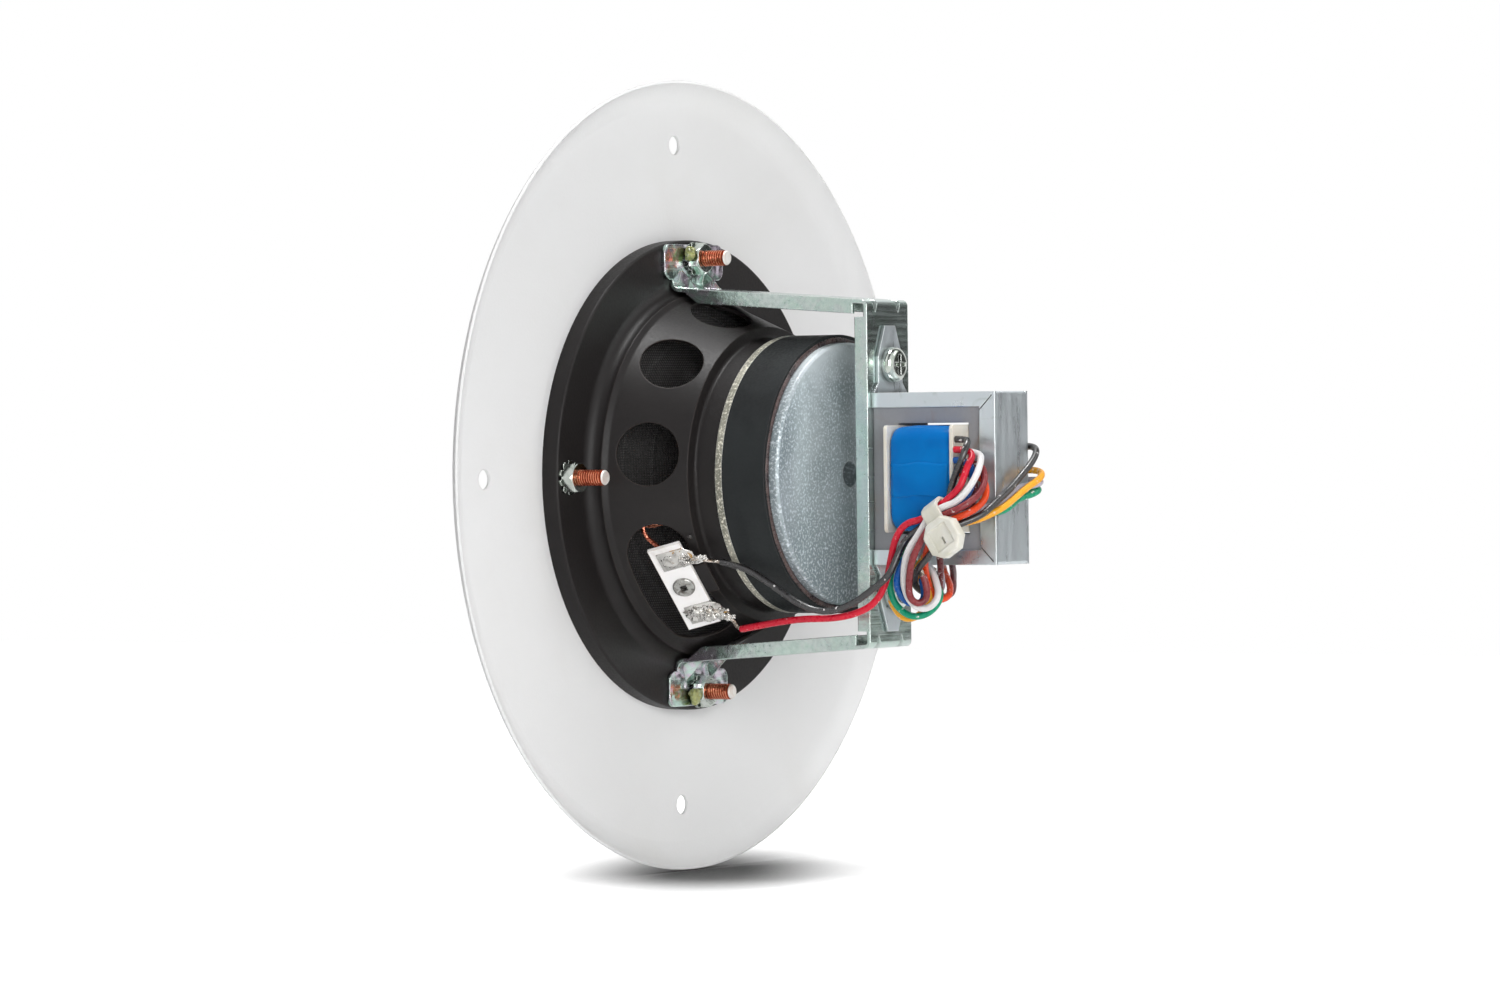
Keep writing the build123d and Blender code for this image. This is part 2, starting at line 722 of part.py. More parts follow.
def add_terminals():
    """Fibre strip on the basket's tongue, with two lugs and a rivet."""
    seat = wall_frame(compass(strip_angle), deck + strip_height).location
    rivet_hole = extrude(Circle(rivet_diameter / 2), amount=strip_sheet)
    strip = extrude(Rectangle(strip_length, strip_width), amount=strip_sheet) - rivet_hole
    nodes["terminal_strip"] = seat * Pos(0, 0, tongue_lift) * strip
    face = tongue_lift + strip_sheet
    shift = strip_length / 2 - lug_inset - lug_width / 2
    nodes["solder_lug_left"] = seat * Pos(-shift, 0, face) * make_lug()
    nodes["solder_lug_right"] = seat * Pos(shift, 0, face) * make_lug()
    head = extrude(Circle(rivet_head_diameter / 2), amount=rivet_head_height)
    head = fillet(head.edges().group_by(Axis.Z)[-1], rivet_head_height * 0.6)
    head += Pos(0, 0, -strip_sheet) * extrude(Circle(rivet_diameter / 2), amount=strip_sheet)
    socket = extrude(Rectangle(rivet_socket, rivet_socket), amount=rivet_head_height)
    nodes["strip_rivet"] = seat * Pos(0, 0, face) * (head - socket)


# Leads and braids


# Each lead's bends, from the bobbin through the cable tie. The two speaker leads go on to
# their lugs, and the tap leads fold back and end behind the bundle.
lead_routes = {
    "speaker_lead_red": [
        (-5.9, -13.2, 91.85), (-5.9, -13.2, 95.8), (-4.2, -13.9, 97.6), (-2.6, -15.7, 97.4),
        (0.5, -17.3, 97.1), (3.6, -18.6, 96.5), (7.4, -18.6, 91.4), (9.7, -18.6, 87.8),
        (11.2, -18.6, 85.3), (12, -18.3, 80.6), (15.5, -17.8, 77.3), (20.3, -17.8, 76),
        (26.5, -18.2, 74.9), (31.3, -19.2, 72.5), (33.9, -21, 68.9), (35.4, -22.8, 62.9),
        (35.4, -25, 53.7), (36.7, -27.2, 45.4), (37.9, -28.6, 38.6),
    ],
    "speaker_lead_black": [
        (-8.4, -12.6, 91.85), (-8.4, -12.6, 95.2), (-7.3, -14.5, 96.3), (-4.4, -16.2, 96.1),
        (-1, -16.3, 94.5),
        (2.4, -16.2, 92.9), (8.2, -17, 91.9), (10.5, -17, 88.4), (13.5, -17.1, 83.5), (16.2, -17.6, 79.9),
        (19.9, -19.9, 79.2), (24.8, -21.3, 77.7), (27.9, -21.9, 73.5), (31.4, -22.6, 68.5),
        (34.1, -23.6, 61.4), (32.3, -25.2, 54.2), (26.8, -27, 46.6), (22.6, -28.8, 40.1),
        (21.3, -29.2, 33.3),
    ],
    "tap_lead_white": [
        (-5.4, -10.8, 91.85), (-5.4, -10.8, 98), (-2.1, -14.4, 100), (2.3, -17.3, 99.5),
        (6.8, -19.4, 96.6), (8.2, -20.2, 91.9), (10.5, -20.2, 88.4), (14.2, -20.8, 86.4),
        (18.6, -20.9, 82.7), (23.9, -20.3, 81), (29.2, -19.2, 80.8), (32.8, -17.6, 82.7),
        (33.1, -15.7, 85.6), (30, -14.1, 87.6), (25.4, -12.2, 85.2), (22.4, -10.2, 82.2),
        (20.4, -10, 79.3),
    ],
    "tap_lead_brown": [
        (-2.7, -10.9, 91.85), (-2.7, -10.9, 97.9), (1.2, -12.4, 100.3), (5.2, -16.2, 100.7),
        (8.5, -20.4, 97.6), (9.8, -20.2, 92.9), (12.1, -20.2, 89.4), (15.9, -22.5, 87.8),
        (21.2, -22.3, 84.7), (26.3, -21.4, 83.3), (30.2, -20.7, 83), (31.9, -19, 84.3), (30.7, -17.4, 86),
        (27.4, -17.7, 86.2), (24.8, -18.1, 85.4),
    ],
    "tap_lead_blue": [
        (-3.3, -13.3, 91.85), (-3.3, -13.3, 97.1), (3.7, -15.1, 98.2), (7.7, -17.5, 95.1),
        (9, -18.6, 92.4), (11.3, -18.6, 88.9), (14.8, -18.9, 85.8), (18.3, -19, 82.6),
        (22.5, -18.8, 79.2), (27.2, -18.6, 77.7), (30.9, -17.4, 79.2), (32.2, -16.1, 81.8),
        (30.9, -15.3, 83.9), (28, -15.9, 84.2), (25.5, -16.4, 83.9),
    ],
    "tap_lead_orange": [
        (0, -10.9, 91.85), (0, -10.9, 98.4), (5.8, -11.3, 100.2), (9.4, -18.7, 100), (11.4, -20.2, 94),
        (13.7, -20.2, 90.4), (20.3, -19, 86.2), (26, -12.7, 83.1), (30.3, -10.6, 83.6),
        (31.2, -8.5, 84.3), (30.2, -6, 85.3), (28.5, -3.5, 84.1), (26.9, -1.3, 82.4), (24.5, 3.1, 78.2),
        (24, 6.5, 76), (23.1, 9.7, 73.7), (20.5, 11.5, 71.5),
    ],
    "tap_lead_green": [
        (4.6, 10.2, 91.85), (4.6, 10.2, 96.8), (3.9, 9.7, 101.4), (4.4, 7.5, 103.3), (5.3, 5.1, 103),
        (5.9, 2.1, 102.2), (6.7, -0.9, 101.9), (8, -4, 102.2), (9.3, -7.2, 102), (9.9, -10.4, 98.8),
        (8.2, -12.2, 95.5), (9.8, -17, 92.9), (12.1, -17, 89.4), (15.1, -16.4, 84.1), (17.9, -15.9, 79.3),
        (21.7, -16.1, 75.7), (26.8, -16.2, 74.1), (32.2, -15.6, 75.4), (35.4, -14.4, 79.6),
        (34.3, -12.9, 84.1), (30.3, -11.1, 86.5), (26.5, -9.9, 83.7), (24.1, -13, 81.4),
        (21.3, -15.4, 80.9),
    ],
    "tap_lead_yellow": [
        (-0.6, 10.2, 91.85), (-0.6, 10.2, 96.9), (-0.5, 9.7, 101.6), (0.4, 7.7, 104.3), (1.8, 4.8, 104.9),
        (3.8, 0.4, 103.9), (6.3, -4.1, 103.2), (8.4, -8.7, 102.9), (10.5, -11.9, 100),
        (11.7, -14.7, 97.7), (12.2, -18.6, 94.5), (14.5, -18.6, 90.9), (19.5, -16.5, 85.5),
        (23.9, -15.7, 81.3), (27.3, -14.4, 83.4), (30.1, -12.7, 84), (33.7, -11.2, 81.7),
        (36.2, -11.4, 76.9), (34.1, -12.6, 73.9), (31, -14, 73.4),
    ],
    "tap_lead_black": [
        (-6.3, 9.6, 91.85), (-6.3, 9.6, 96.4), (-6.5, 9.4, 100.4), (-5.3, 7.6, 102.9), (-2.4, 3.9, 103.5),
        (1, -0.5, 102.8), (4.4, -5.4, 102.4), (7.5, -11.2, 101.8), (10.4, -15.3, 100.5), (13, -20.2, 95),
        (15.3, -20.2, 91.4), (19.4, -20.7, 89.7), (23.2, -19.6, 84.6), (26.9, -16.8, 81.5),
        (29.6, -11.1, 81.4), (27.2, -7.9, 82.4), (24.5, -6, 81.2),
    ],
    "tap_lead_grey": [
        (2, 10.2, 91.85), (2, 10.2, 97.2), (1.9, 9.6, 102.2), (2.5, 7.4, 103.9), (3.1, 5.1, 103.4),
        (3.5, 0.9, 101.9), (5.6, -3.4, 101.4), (7.7, -8.3, 101.2), (8.6, -12.7, 98.8), (9.6, -17.3, 98.1),
        (10.6, -18.6, 93.4), (12.9, -18.6, 89.9), (16.5, -16.9, 86.1), (20.8, -13.3, 81.5),
        (26.4, -8.7, 79.8), (29.3, -6.1, 80.5), (28.9, -4, 81.7), (26.3, -2.7, 81.3), (24.4, -0.9, 79.6),
    ],
    "tap_lead_maroon": [
        (-1, -12.9, 91.85), (-1, -12.9, 95.9), (3.3, -12.3, 97.3), (7.5, -14.2, 97.6), (11.4, -17, 94),
        (13.7, -17, 90.4), (18.6, -14.5, 87.7), (22, -11.9, 86.6), (25, -9.4, 85), (27.5, -8.2, 83.9),
        (29.9, -6.6, 83.1), (30.7, -4.4, 82.9), (29.7, -1.9, 83.5), (28.1, 0.5, 82.5), (26.5, 2.8, 81),
        (25.1, 6.3, 78.9), (23.3, 9.5, 76.7), (20.7, 11.5, 74.7),
    ],
}


def tube(points, diameter):
    """Straight runs joined by arcs that take nine tenths of the shorter run's half."""
    radii = []
    for before, corner, after in zip(points, points[1:], points[2:]):
        arrives = Vector(*corner) - Vector(*before)
        leaves = Vector(*after) - Vector(*corner)
        half_turn = radians(arrives.get_angle(leaves)) / 2
        radii.append(arc_share * min(arrives.length, leaves.length) / tan(half_turn))
    line = FilletPolyline(*points, radius=radii)
    print("radii", [round(radius, 1) for radius in radii])
    start = Plane(origin=line @ 0, z_dir=line % 0)
    return sweep(start * Circle(diameter / 2), path=line)


def add_leads():
    """Two speaker leads and nine tap leads, each in its own node."""
    for name, points in lead_routes.items():
        nodes[name] = tube(points, lead_diameter)


def add_braids():
    """Braided leads from behind the strip, through the kidney window, to the cone."""
    seat = wall_frame(compass(strip_angle), deck + strip_height)
    reach = strip_length / 2 - lug_inset - lug_width / 2
    edge = strip_length / 2
    for side, sign in (("left", -1), ("right", 1)):
        by_strip = [
            (sign * reach, -1.8, tongue_lift),
            (sign * reach, -1.8, -2.1),
            (sign * (reach + 2.2), -3.0, -3.4),
            (sign * (edge + 1.2), -4.6, -3.4),
            (sign * (edge + 3.6), -4.8, -5.6),
        ]
        points = [tuple(seat.from_local_coords(Vector(*place))) for place in by_strip]
        angle = radians(compass(strip_angle) + sign * braid_join_angle)
        for reach_out, lift in ((15.0, 0.4), (10.0, 2.4), (4.5, 3.9), (1.74, 3.4), (0, 0)):
            radius = braid_join_radius + reach_out
            level = cone_level(braid_join_radius) + lift
            points.append((radius * cos(angle), radius * sin(angle), level))
        nodes["braid_lead_" + side] = tube(points, braid_diameter)


# Cable tie


def make_cable_tie():
    """Band in a closed loop round the bundle, with its square head on the near side."""
    bundle = Polygon(*tie_bundle, align=None)
    inner = offset(bundle, lead_diameter / 2 + tie_clearance)
    outer = offset(bundle, lead_diameter / 2 + tie_clearance + tie_sheet)
    band = extrude(outer - inner, amount=tie_width / 2, both=True)
    across, along = tie_head_place
    middle = Pos(across, tie_head_base + tie_head_height / 2, along)
    head = Box(tie_head_side, tie_head_height, tie_head_side)
    head = chamfer(head.edges().filter_by(Axis.Y), tie_head_corner)
    head = fillet(head.edges().group_by(Axis.Y)[-1], tie_head_edge)
    face = Pos(0, tie_head_height / 2, 0)
    head -= face * Box(tie_recess_side, 2 * tie_recess_depth, tie_recess_side)
    pawl_length, pawl_width, pawl_depth = tie_pawl
    head -= face * Pos(tie_recess_side / 6, 0, 0) * Box(pawl_length, 2 * pawl_depth, pawl_width)
    return Plane(origin=tie_middle, x_dir=tie_across, z_dir=tie_along).location * (band + middle * head)


add_fixings()
add_driver()
add_terminals()
nodes["baffle"] = make_baffle()
nodes["transformer_bracket"] = make_bracket()
add_transformer()
add_lock_paint()
add_leads()
add_braids()
nodes["cable_tie"] = make_cable_tie()

os.makedirs("parts", exist_ok=True)
for name, shape in nodes.items():
    solids = shape.solids()
    export_step(solids[0] if len(solids) == 1 else Compound(solids), "parts/" + name + ".step")
    print(name, len(solids), round(sum(solid.volume for solid in solids), 2))
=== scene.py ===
"""Dresses the ceiling loudspeaker: its finishes, its small parts, its leads and the studio it stands in."""

import logging
import math
from dataclasses import dataclass, field
from enum import Enum
from typing import Sequence

import bmesh
import bpy
from mathutils import Euler, Matrix, Vector, noise


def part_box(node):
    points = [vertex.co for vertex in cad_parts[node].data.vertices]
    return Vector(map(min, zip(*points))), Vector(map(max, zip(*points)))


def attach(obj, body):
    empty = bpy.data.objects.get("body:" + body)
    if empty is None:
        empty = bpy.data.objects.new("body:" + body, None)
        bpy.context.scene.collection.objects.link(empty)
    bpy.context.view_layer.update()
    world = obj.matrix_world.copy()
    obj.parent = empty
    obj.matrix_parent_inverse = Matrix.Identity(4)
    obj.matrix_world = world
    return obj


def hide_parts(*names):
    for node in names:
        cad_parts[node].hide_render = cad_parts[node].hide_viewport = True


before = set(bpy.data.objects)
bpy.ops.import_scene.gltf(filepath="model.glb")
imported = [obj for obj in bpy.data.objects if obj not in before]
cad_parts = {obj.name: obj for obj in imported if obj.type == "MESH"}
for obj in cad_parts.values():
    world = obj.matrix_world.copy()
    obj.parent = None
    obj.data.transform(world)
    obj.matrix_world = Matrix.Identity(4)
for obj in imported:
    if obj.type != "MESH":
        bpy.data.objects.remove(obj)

log = logging.getLogger("speaker")
MM = 0.001
FULL_TURN = 2 * math.pi
Colour = tuple[float, float, float, float]
Point = tuple[float, float, float]
Route = tuple[Point, ...]
Socket = bpy.types.NodeSocket


# Wiring


def srgb(red: int, green: int, blue: int) -> Colour:
    """Turn a colour read in 0 to 255 into the linear values that sockets take.

    Args:
        red: Red as a screen shows it.
        green: Green as a screen shows it.
        blue: Blue as a screen shows it.

    Returns:
        The linear colour with full alpha.
    """
    parts = []
    for value in (red, green, blue):
        share = value / 255
        parts.append(share / 12.92 if share <= 0.04045 else ((share + 0.055) / 1.055) ** 2.4)
    return (*parts, 1.0)


class Wiring:
    """Nodes and links of one node tree, and the small sums that they do."""

    def __init__(self, tree: bpy.types.NodeTree) -> None:
        """Take the tree of a material, a world or a group."""
        self.tree = tree

    def node(self, kind: str, **settings: object) -> bpy.types.Node:
        """Add a node to the tree.

        Args:
            kind: The node's type, without the ShaderNode prefix.
            **settings: Plain properties by name.

        Returns:
            The new node.
        """
        made = self.tree.nodes.new("ShaderNode" + kind)
        for name, value in settings.items():
            setattr(made, name, value)
        return made

    def link(self, source: Socket, target: Socket) -> None:
        """Join two sockets."""
        self.tree.links.new(source, target)

    def give(self, value: object, target: Socket) -> None:
        """Join a socket to another, or set it where the value is plain.

        Args:
            value: A socket or a plain value.
            target: The socket that takes it.
        """
        if isinstance(value, bpy.types.NodeSocket):
            self.link(value, target)
        else:
            target.default_value = value

    def fill(self, node: bpy.types.Node, values: dict[str, object]) -> bpy.types.Node:
        """Give a node's inputs their values by name.

        Args:
            node: The node.
            values: Sockets or plain values by the input's name.

        Returns:
            The same node.
        """
        for name, value in values.items():
            self.give(value, node.inputs[name])
        return node

    def fed(self, kind: str, *values: object, **settings: object) -> bpy.types.Node:
        """Add a node and give its inputs their values in order.

        Args:
            kind: The node's type, without the ShaderNode prefix.
            *values: Sockets or plain values.
            **settings: Plain properties by name.

        Returns:
            The new node.
        """
        made = self.node(kind, **settings)
        for value, target in zip(values, made.inputs):
            self.give(value, target)
        return made

    def maths(self, operation: str, *values: object, clamp: bool = False) -> Socket:
        """Do one sum on numbers, and hold the result within 0 and 1 where clamp says so."""
        return self.fed("Math", *values, operation=operation, use_clamp=clamp).outputs[0]

    def vector_maths(self, operation: str, *values: object) -> bpy.types.Node:
        """Do one sum on vectors, and give the node that holds the result."""
        return self.fed("VectorMath", *values, operation=operation)

    def stretch(self, source: Socket, given: Sequence[object], wanted: Sequence[float] = (0.0, 1.0),
                kind: str = "LINEAR") -> Socket:
        """Map one range of values onto another, held at its ends.

        Args:
            source: The value.
            given: Both ends of its range.
            wanted: Both ends of the result's range.
            kind: LINEAR or SMOOTHSTEP.

        Returns:
            The mapped value.
        """
        made = self.node("MapRange", interpolation_type=kind)
        self.fill(made, {"Value": source, "From Min": given[0], "From Max": given[1], "To Min": wanted[0],
                         "To Max": wanted[1]})
        return made.outputs["Result"]

    def mix(self, factor: Socket, low: object, high: object) -> Socket:
        """Mix two colours, each a value or a socket.

        Args:
            factor: The mask.
            low: Colour where the mask is 0.
            high: Colour where the mask is 1.

        Returns:
            The mixed colour.
        """
        made = self.node("Mix", data_type="RGBA")
        return self.fill(made, {"Factor": factor, "A": low, "B": high}).outputs["Result"]


# Shared effects


class Pattern(Wiring):
    """Builds one node group that several finishes share."""

    kinds = {"Vector": "NodeSocketVector", "Normal": "NodeSocketVector", "Color": "NodeSocketColor",
             "Ground": "NodeSocketColor", "Patch": "NodeSocketColor"}

    def __init__(self, name: str, takes: dict[str, float | None], gives: Sequence[str]) -> None:
        """Open a group with its inputs and outputs.

        Args:
            name: The group's plain name.
            takes: Each input's name and default value, besides Vector.
            gives: Each output's name.
        """
        super().__init__(bpy.data.node_groups.new(name, "ShaderNodeTree"))
        self.given = self.tree.nodes.new("NodeGroupInput").outputs
        self.exit = self.tree.nodes.new("NodeGroupOutput")
        for title, value in {"Vector": None, **takes}.items():
            socket = self.open(title, "INPUT")
            if value is not None:
                socket.default_value = value
        for title in gives:
            self.open(title, "OUTPUT")

    def open(self, title: str, side: str) -> bpy.types.NodeTreeInterfaceSocket:
        """Add one socket to the group's face."""
        kind = self.kinds.get(title, "NodeSocketFloat")
        return self.tree.interface.new_socket(name=title, in_out=side, socket_type=kind)

    def push(self, source: Socket, name: str) -> None:
        """Lead a socket to one of the group's outputs."""
        self.link(source, self.exit.inputs[name])

    def cloud(self, **values: object) -> Socket:
        """Read noise at the group's vector.

        Args:
            **values: The noise's other inputs by name.

        Returns:
            The noise, 0 to 1.
        """
        return self.fill(self.node("TexNoise"), {"Vector": self.given["Vector"], **values}).outputs["Fac"]


def grain_pattern() -> bpy.types.NodeTree:
    """Build fine grain: noise squeezed between two limits, as a mask and a height.

    Returns:
        The group's tree.
    """
    group = Pattern("fine_grain", {"Scale": 900.0, "Detail": 3.0, "Low": 0.35, "High": 0.65}, ("Mask", "Height"))
    given = group.given
    cloud = group.cloud(Scale=given["Scale"], Detail=given["Detail"])
    group.push(group.stretch(cloud, (given["Low"], given["High"])), "Mask")
    group.push(cloud, "Height")
    return group.tree


def wear_pattern() -> bpy.types.NodeTree:
    """Build edge wear: a mask that is high where the surface turns sharply, broken up by noise.

    Returns:
        The group's tree.
    """
    group = Pattern("edge_wear", {"Radius": 0.0004, "Breakup": 400.0, "Strength": 6.0}, ("Mask", "Normal"))
    given = group.given
    rounded = group.fill(group.node("Bevel", samples=6), {"Radius": given["Radius"]}).outputs["Normal"]
    alike = group.vector_maths("DOT_PRODUCT", rounded, group.node("NewGeometry").outputs["Normal"])
    turned = group.maths("SUBTRACT", 1.0, alike.outputs["Value"])
    stronger = group.maths("MULTIPLY", turned, given["Strength"])
    group.push(group.maths("MULTIPLY", stronger, group.cloud(Scale=given["Breakup"]), clamp=True), "Mask")
    group.push(rounded, "Normal")
    return group.tree


def patch_pattern() -> bpy.types.NodeTree:
    """Build soft patches of one colour in another, as plating and dirt show.

    Returns:
        The group's tree.
    """
    takes = {"Scale": 60.0, "Warp": 0.6, "Low": 0.4, "High": 0.7, "Ground": None, "Patch": None}
    group = Pattern("soft_patches", takes, ("Color", "Mask"))
    given = group.given
    cloud = group.cloud(Scale=given["Scale"], Distortion=given["Warp"], Detail=4.0)
    mask = group.stretch(cloud, (given["Low"], given["High"]), kind="SMOOTHSTEP")
    group.push(group.mix(mask, given["Ground"], given["Patch"]), "Color")
    group.push(mask, "Mask")
    return group.tree


def weave_pattern() -> bpy.types.NodeTree:
    """Build a plain weave: two crossing sets of threads, as a height.

    Returns:
        The group's tree.
    """
    group = Pattern("plain_weave", {"Pitch": 700.0}, ("Height",))
    values = {"Vector": group.given["Vector"], "Scale": group.given["Pitch"], "Distortion": 0.6, "Detail Scale": 2.0}
    waves = []
    for axis in ("X", "Y"):
        wave = group.node("TexWave", wave_type="BANDS", bands_direction=axis, wave_profile="SIN")
        waves.append(group.fill(wave, values).outputs["Fac"])
    group.push(group.maths("MULTIPLY", *waves), "Height")
    return group.tree


def painted_crevice_shade_pattern() -> bpy.types.NodeTree:
    """Build a mask for painted shade in the places that other surfaces shut in, read from ambient occlusion.

    Returns:
        The group's tree.
    """
    group = Pattern("painted_crevice_shade", {"Reach": 0.001, "Depth": 1.0}, ("Mask",))
    near = group.fill(group.node("AmbientOcclusion", samples=6), {"Distance": group.given["Reach"]})
    shut = group.maths("SUBTRACT", 1.0, near.outputs["AO"])
    group.push(group.maths("MULTIPLY", shut, group.given["Depth"], clamp=True), "Mask")
    return group.tree


class Effect(Enum):
    """The shared node groups, by name."""

    GRAIN = "fine_grain"
    WEAR = "edge_wear"
    PATCHES = "soft_patches"
    WEAVE = "plain_weave"
    PAINTED_CREVICE_SHADE = "painted_crevice_shade"


EFFECTS: dict[Effect, bpy.types.NodeTree] = {
    Effect.GRAIN: grain_pattern(),
    Effect.WEAR: wear_pattern(),
    Effect.PATCHES: patch_pattern(),
    Effect.WEAVE: weave_pattern(),
    Effect.PAINTED_CREVICE_SHADE: painted_crevice_shade_pattern(),
}


# Finishes


class Finish(Wiring):
    """One material: its Principled shader and the helpers that feed it."""

    def __init__(self, name: str, colour: Colour, roughness: float, metallic: float = 0.0) -> None:
        """Open a material with one plain shader.

        Args:
            name: The finish's plain name.
            colour: Base colour.
            roughness: Roughness all over.
            metallic: 1 for bare or plated metal.
        """
        self.material = bpy.data.materials.new(name)
        self.material.use_nodes = True
        super().__init__(self.material.node_tree)
        self.shader = self.tree.nodes["Principled BSDF"]
        self.place = self.node("TexCoord").outputs["Object"]
        self.set({"Base Color": colour, "Roughness": roughness, "Metallic": metallic})
        self.relief: Socket | None = None

    def set(self, values: dict[str, object]) -> None:
        """Give the shader's own sockets their values, by name."""
        self.fill(self.shader, values)

    def feed(self, source: Socket, socket: str) -> None:
        """Drive one of the shader's sockets."""
        self.link(source, self.shader.inputs[socket])

    def axis(self, name: str) -> Socket:
        """Read one of the object's coordinates."""
        return self.fill(self.node("SeparateXYZ"), {"Vector": self.place}).outputs[name]

    def mapped(self, scale: Sequence[float]) -> Socket:
        """Stretch the object's coordinates along each axis."""
        return self.fill(self.node("Mapping"), {"Scale": scale, "Vector": self.place}).outputs["Vector"]

    def effect(self, kind: Effect, vector: Socket | None = None, **values: object) -> bpy.types.NodeOutputs:
        """Place a shared effect with this finish's own values.

        Args:
            kind: Which effect.
            vector: Where it is read, or None for the object's coordinates.
            **values: Socket values by name.

        Returns:
            The group's outputs.
        """
        group = self.node("Group", node_tree=EFFECTS[kind])
        return self.fill(group, {"Vector": vector or self.place, **values}).outputs

    def span(self, source: Socket, low: float, high: float) -> Socket:
        """Stretch a 0 to 1 mask to a span of values."""
        return self.stretch(source, (0.0, 1.0), (low, high))

    def soften_edges(self, radius: float, strength: float) -> Socket:
        """Round the solid's sharp edges in the light, and give the mask of those edges.

        Args:
            radius: How wide an edge turns, in metres.
            strength: How bright the mask is.

        Returns:
            The mask.
        """
        wear = self.effect(Effect.WEAR, Radius=radius, Strength=strength)
        self.relief = wear["Normal"]
        self.feed(self.relief, "Normal")
        return wear["Mask"]

    def bump(self, height: Socket, depth: float, strength: float = 1.0) -> None:
        """Add relief on top of what the finish already has.

        Args:
            height: The relief's height, 0 to 1.
            depth: What 1 stands for, in metres.
            strength: How much of it shows.
        """
        bump = self.fill(self.node("Bump"), {"Distance": depth, "Strength": strength, "Height": height})
        if self.relief is not None:
            self.link(self.relief, bump.inputs["Normal"])
        self.relief = bump.outputs["Normal"]
        self.feed(self.relief, "Normal")

    def grained(self, rough: tuple[float, float], depth: float, strength: float, **values: object) -> None:
        """Break up the roughness and the surface with fine grain.

        Args:
            rough: Lowest and highest roughness.
            depth: The grain's depth, in metres.
            strength: How much of it shows.
            **values: The grain's own values.
        """
        grain = self.effect(Effect.GRAIN, **values)
        self.feed(self.span(grain["Mask"], *rough), "Roughness")
        self.bump(grain["Height"], depth, strength)


@dataclass(frozen=True)
class PowderCoat:
    """White powder paint on the baffle, with its faint orange peel."""

    colour: Colour = srgb(232, 232, 232)
    shade: Colour = srgb(222, 221, 219)

    def make(self) -> bpy.types.Material:
        """Build the material.

        Returns:
            The material.
        """
        finish = Finish("white_powder_coat", self.colour, 0.5)
        finish.soften_edges(0.0005, 0.0)
        patches = finish.effect(Effect.PATCHES, Scale=14.0, Low=0.45, High=0.95, Ground=self.colour, Patch=self.shade)
        finish.feed(patches["Color"], "Base Color")
        finish.grained((0.46, 0.6), 0.00007, 0.5, Scale=1300.0, Detail=2.0)
        return finish.material


@dataclass(frozen=True)
class BlackPaint:
    """Black semi gloss paint on the basket, thin at its edges."""

    colour: Colour = srgb(25, 22, 22)
    light: Colour = srgb(34, 31, 30)
    worn: Colour = srgb(84, 70, 62)

    def make(self) -> bpy.types.Material:
        """Build the material.

        Returns:
            The material.
        """
        finish = Finish("black_paint", self.colour, 0.4)
        edges = finish.soften_edges(0.0005, 2.2)
        patches = finish.effect(Effect.PATCHES, Scale=35.0, Low=0.4, High=0.9, Ground=self.colour, Patch=self.light)
        finish.feed(finish.mix(edges, patches["Color"], self.worn), "Base Color")
        finish.grained((0.4, 0.5), 0.00005, 0.5, Scale=1500.0, Detail=2.0)
        finish.set({"Specular IOR Level": 0.28})
        return finish.material


@dataclass(frozen=True)
class ZincPlate:
    """Bright zinc on steel sheet, finely rolled one way, with a rose and green bloom low down and painted shade in its
    crevices.
    """

    name: str = "zinc_plate"
    colour: Colour = srgb(201, 216, 208)
    streak: Colour = srgb(180, 200, 193)
    bloom: Colour = srgb(194, 224, 212)
    rose: Colour = srgb(224, 194, 222)
    tarnish: Colour = srgb(184, 198, 190)
    shadow: Colour = srgb(62, 66, 62)
    worn: Colour = srgb(238, 242, 240)
    roughness: float = 0.2
    grain: Point = (900.0, 40.0, 900.0)
    bloom_levels: tuple[float, float] = (0.03, 0.01)
    waves: float = 0.5
    metal: float = 1.0
    foot: tuple[float, float] = (0.009, 0.006)

    def make(self) -> bpy.types.Material:
        """Build the material.

        Returns:
            The material.
        """
        finish = Finish(self.name, self.colour, self.roughness, self.metal)
        edges = finish.soften_edges(0.0004, 5.0)
        height = finish.axis("Z")
        rolled = finish.effect(Effect.GRAIN, finish.mapped(self.grain), Scale=1.0, Detail=5.0, Low=0.35, High=0.8)
        streaked = finish.mix(rolled["Mask"], self.colour, self.streak)
        dull = finish.effect(Effect.PATCHES, Scale=150.0, Warp=2.0, Low=0.6, High=0.85, Ground=streaked,
                             Patch=self.tarnish)
        green = finish.effect(Effect.PATCHES, Scale=170.0, Warp=1.6, Low=0.4, High=0.6, Ground=self.rose,
                              Patch=self.bloom)
        low_down = finish.stretch(height, self.bloom_levels)
        bloomed = finish.mix(finish.span(low_down, 0.1, 0.6), dull["Color"], green["Color"])
        # painted shade: the crevice mask darkens the zinc towards its shadow colour
        shaded = finish.mix(finish.effect(Effect.PAINTED_CREVICE_SHADE, Reach=0.0016, Depth=1.1)["Mask"], bloomed, self.shadow)
        finish.feed(finish.mix(edges, shaded, self.worn), "Base Color")
        finish.feed(finish.span(rolled["Mask"], self.roughness - 0.05, self.roughness + 0.14), "Roughness")
        finish.bump(rolled["Height"], 0.00005, 0.7)
        finish.bump(finish.effect(Effect.GRAIN, Scale=190.0, Detail=1.0)["Height"], 0.0002, self.waves)
        beaten = finish.effect(Effect.GRAIN, Scale=330.0, Detail=0.5)
        finish.bump(finish.maths("MULTIPLY", finish.stretch(height, self.foot), beaten["Height"]), 0.0006)
        return finish.material


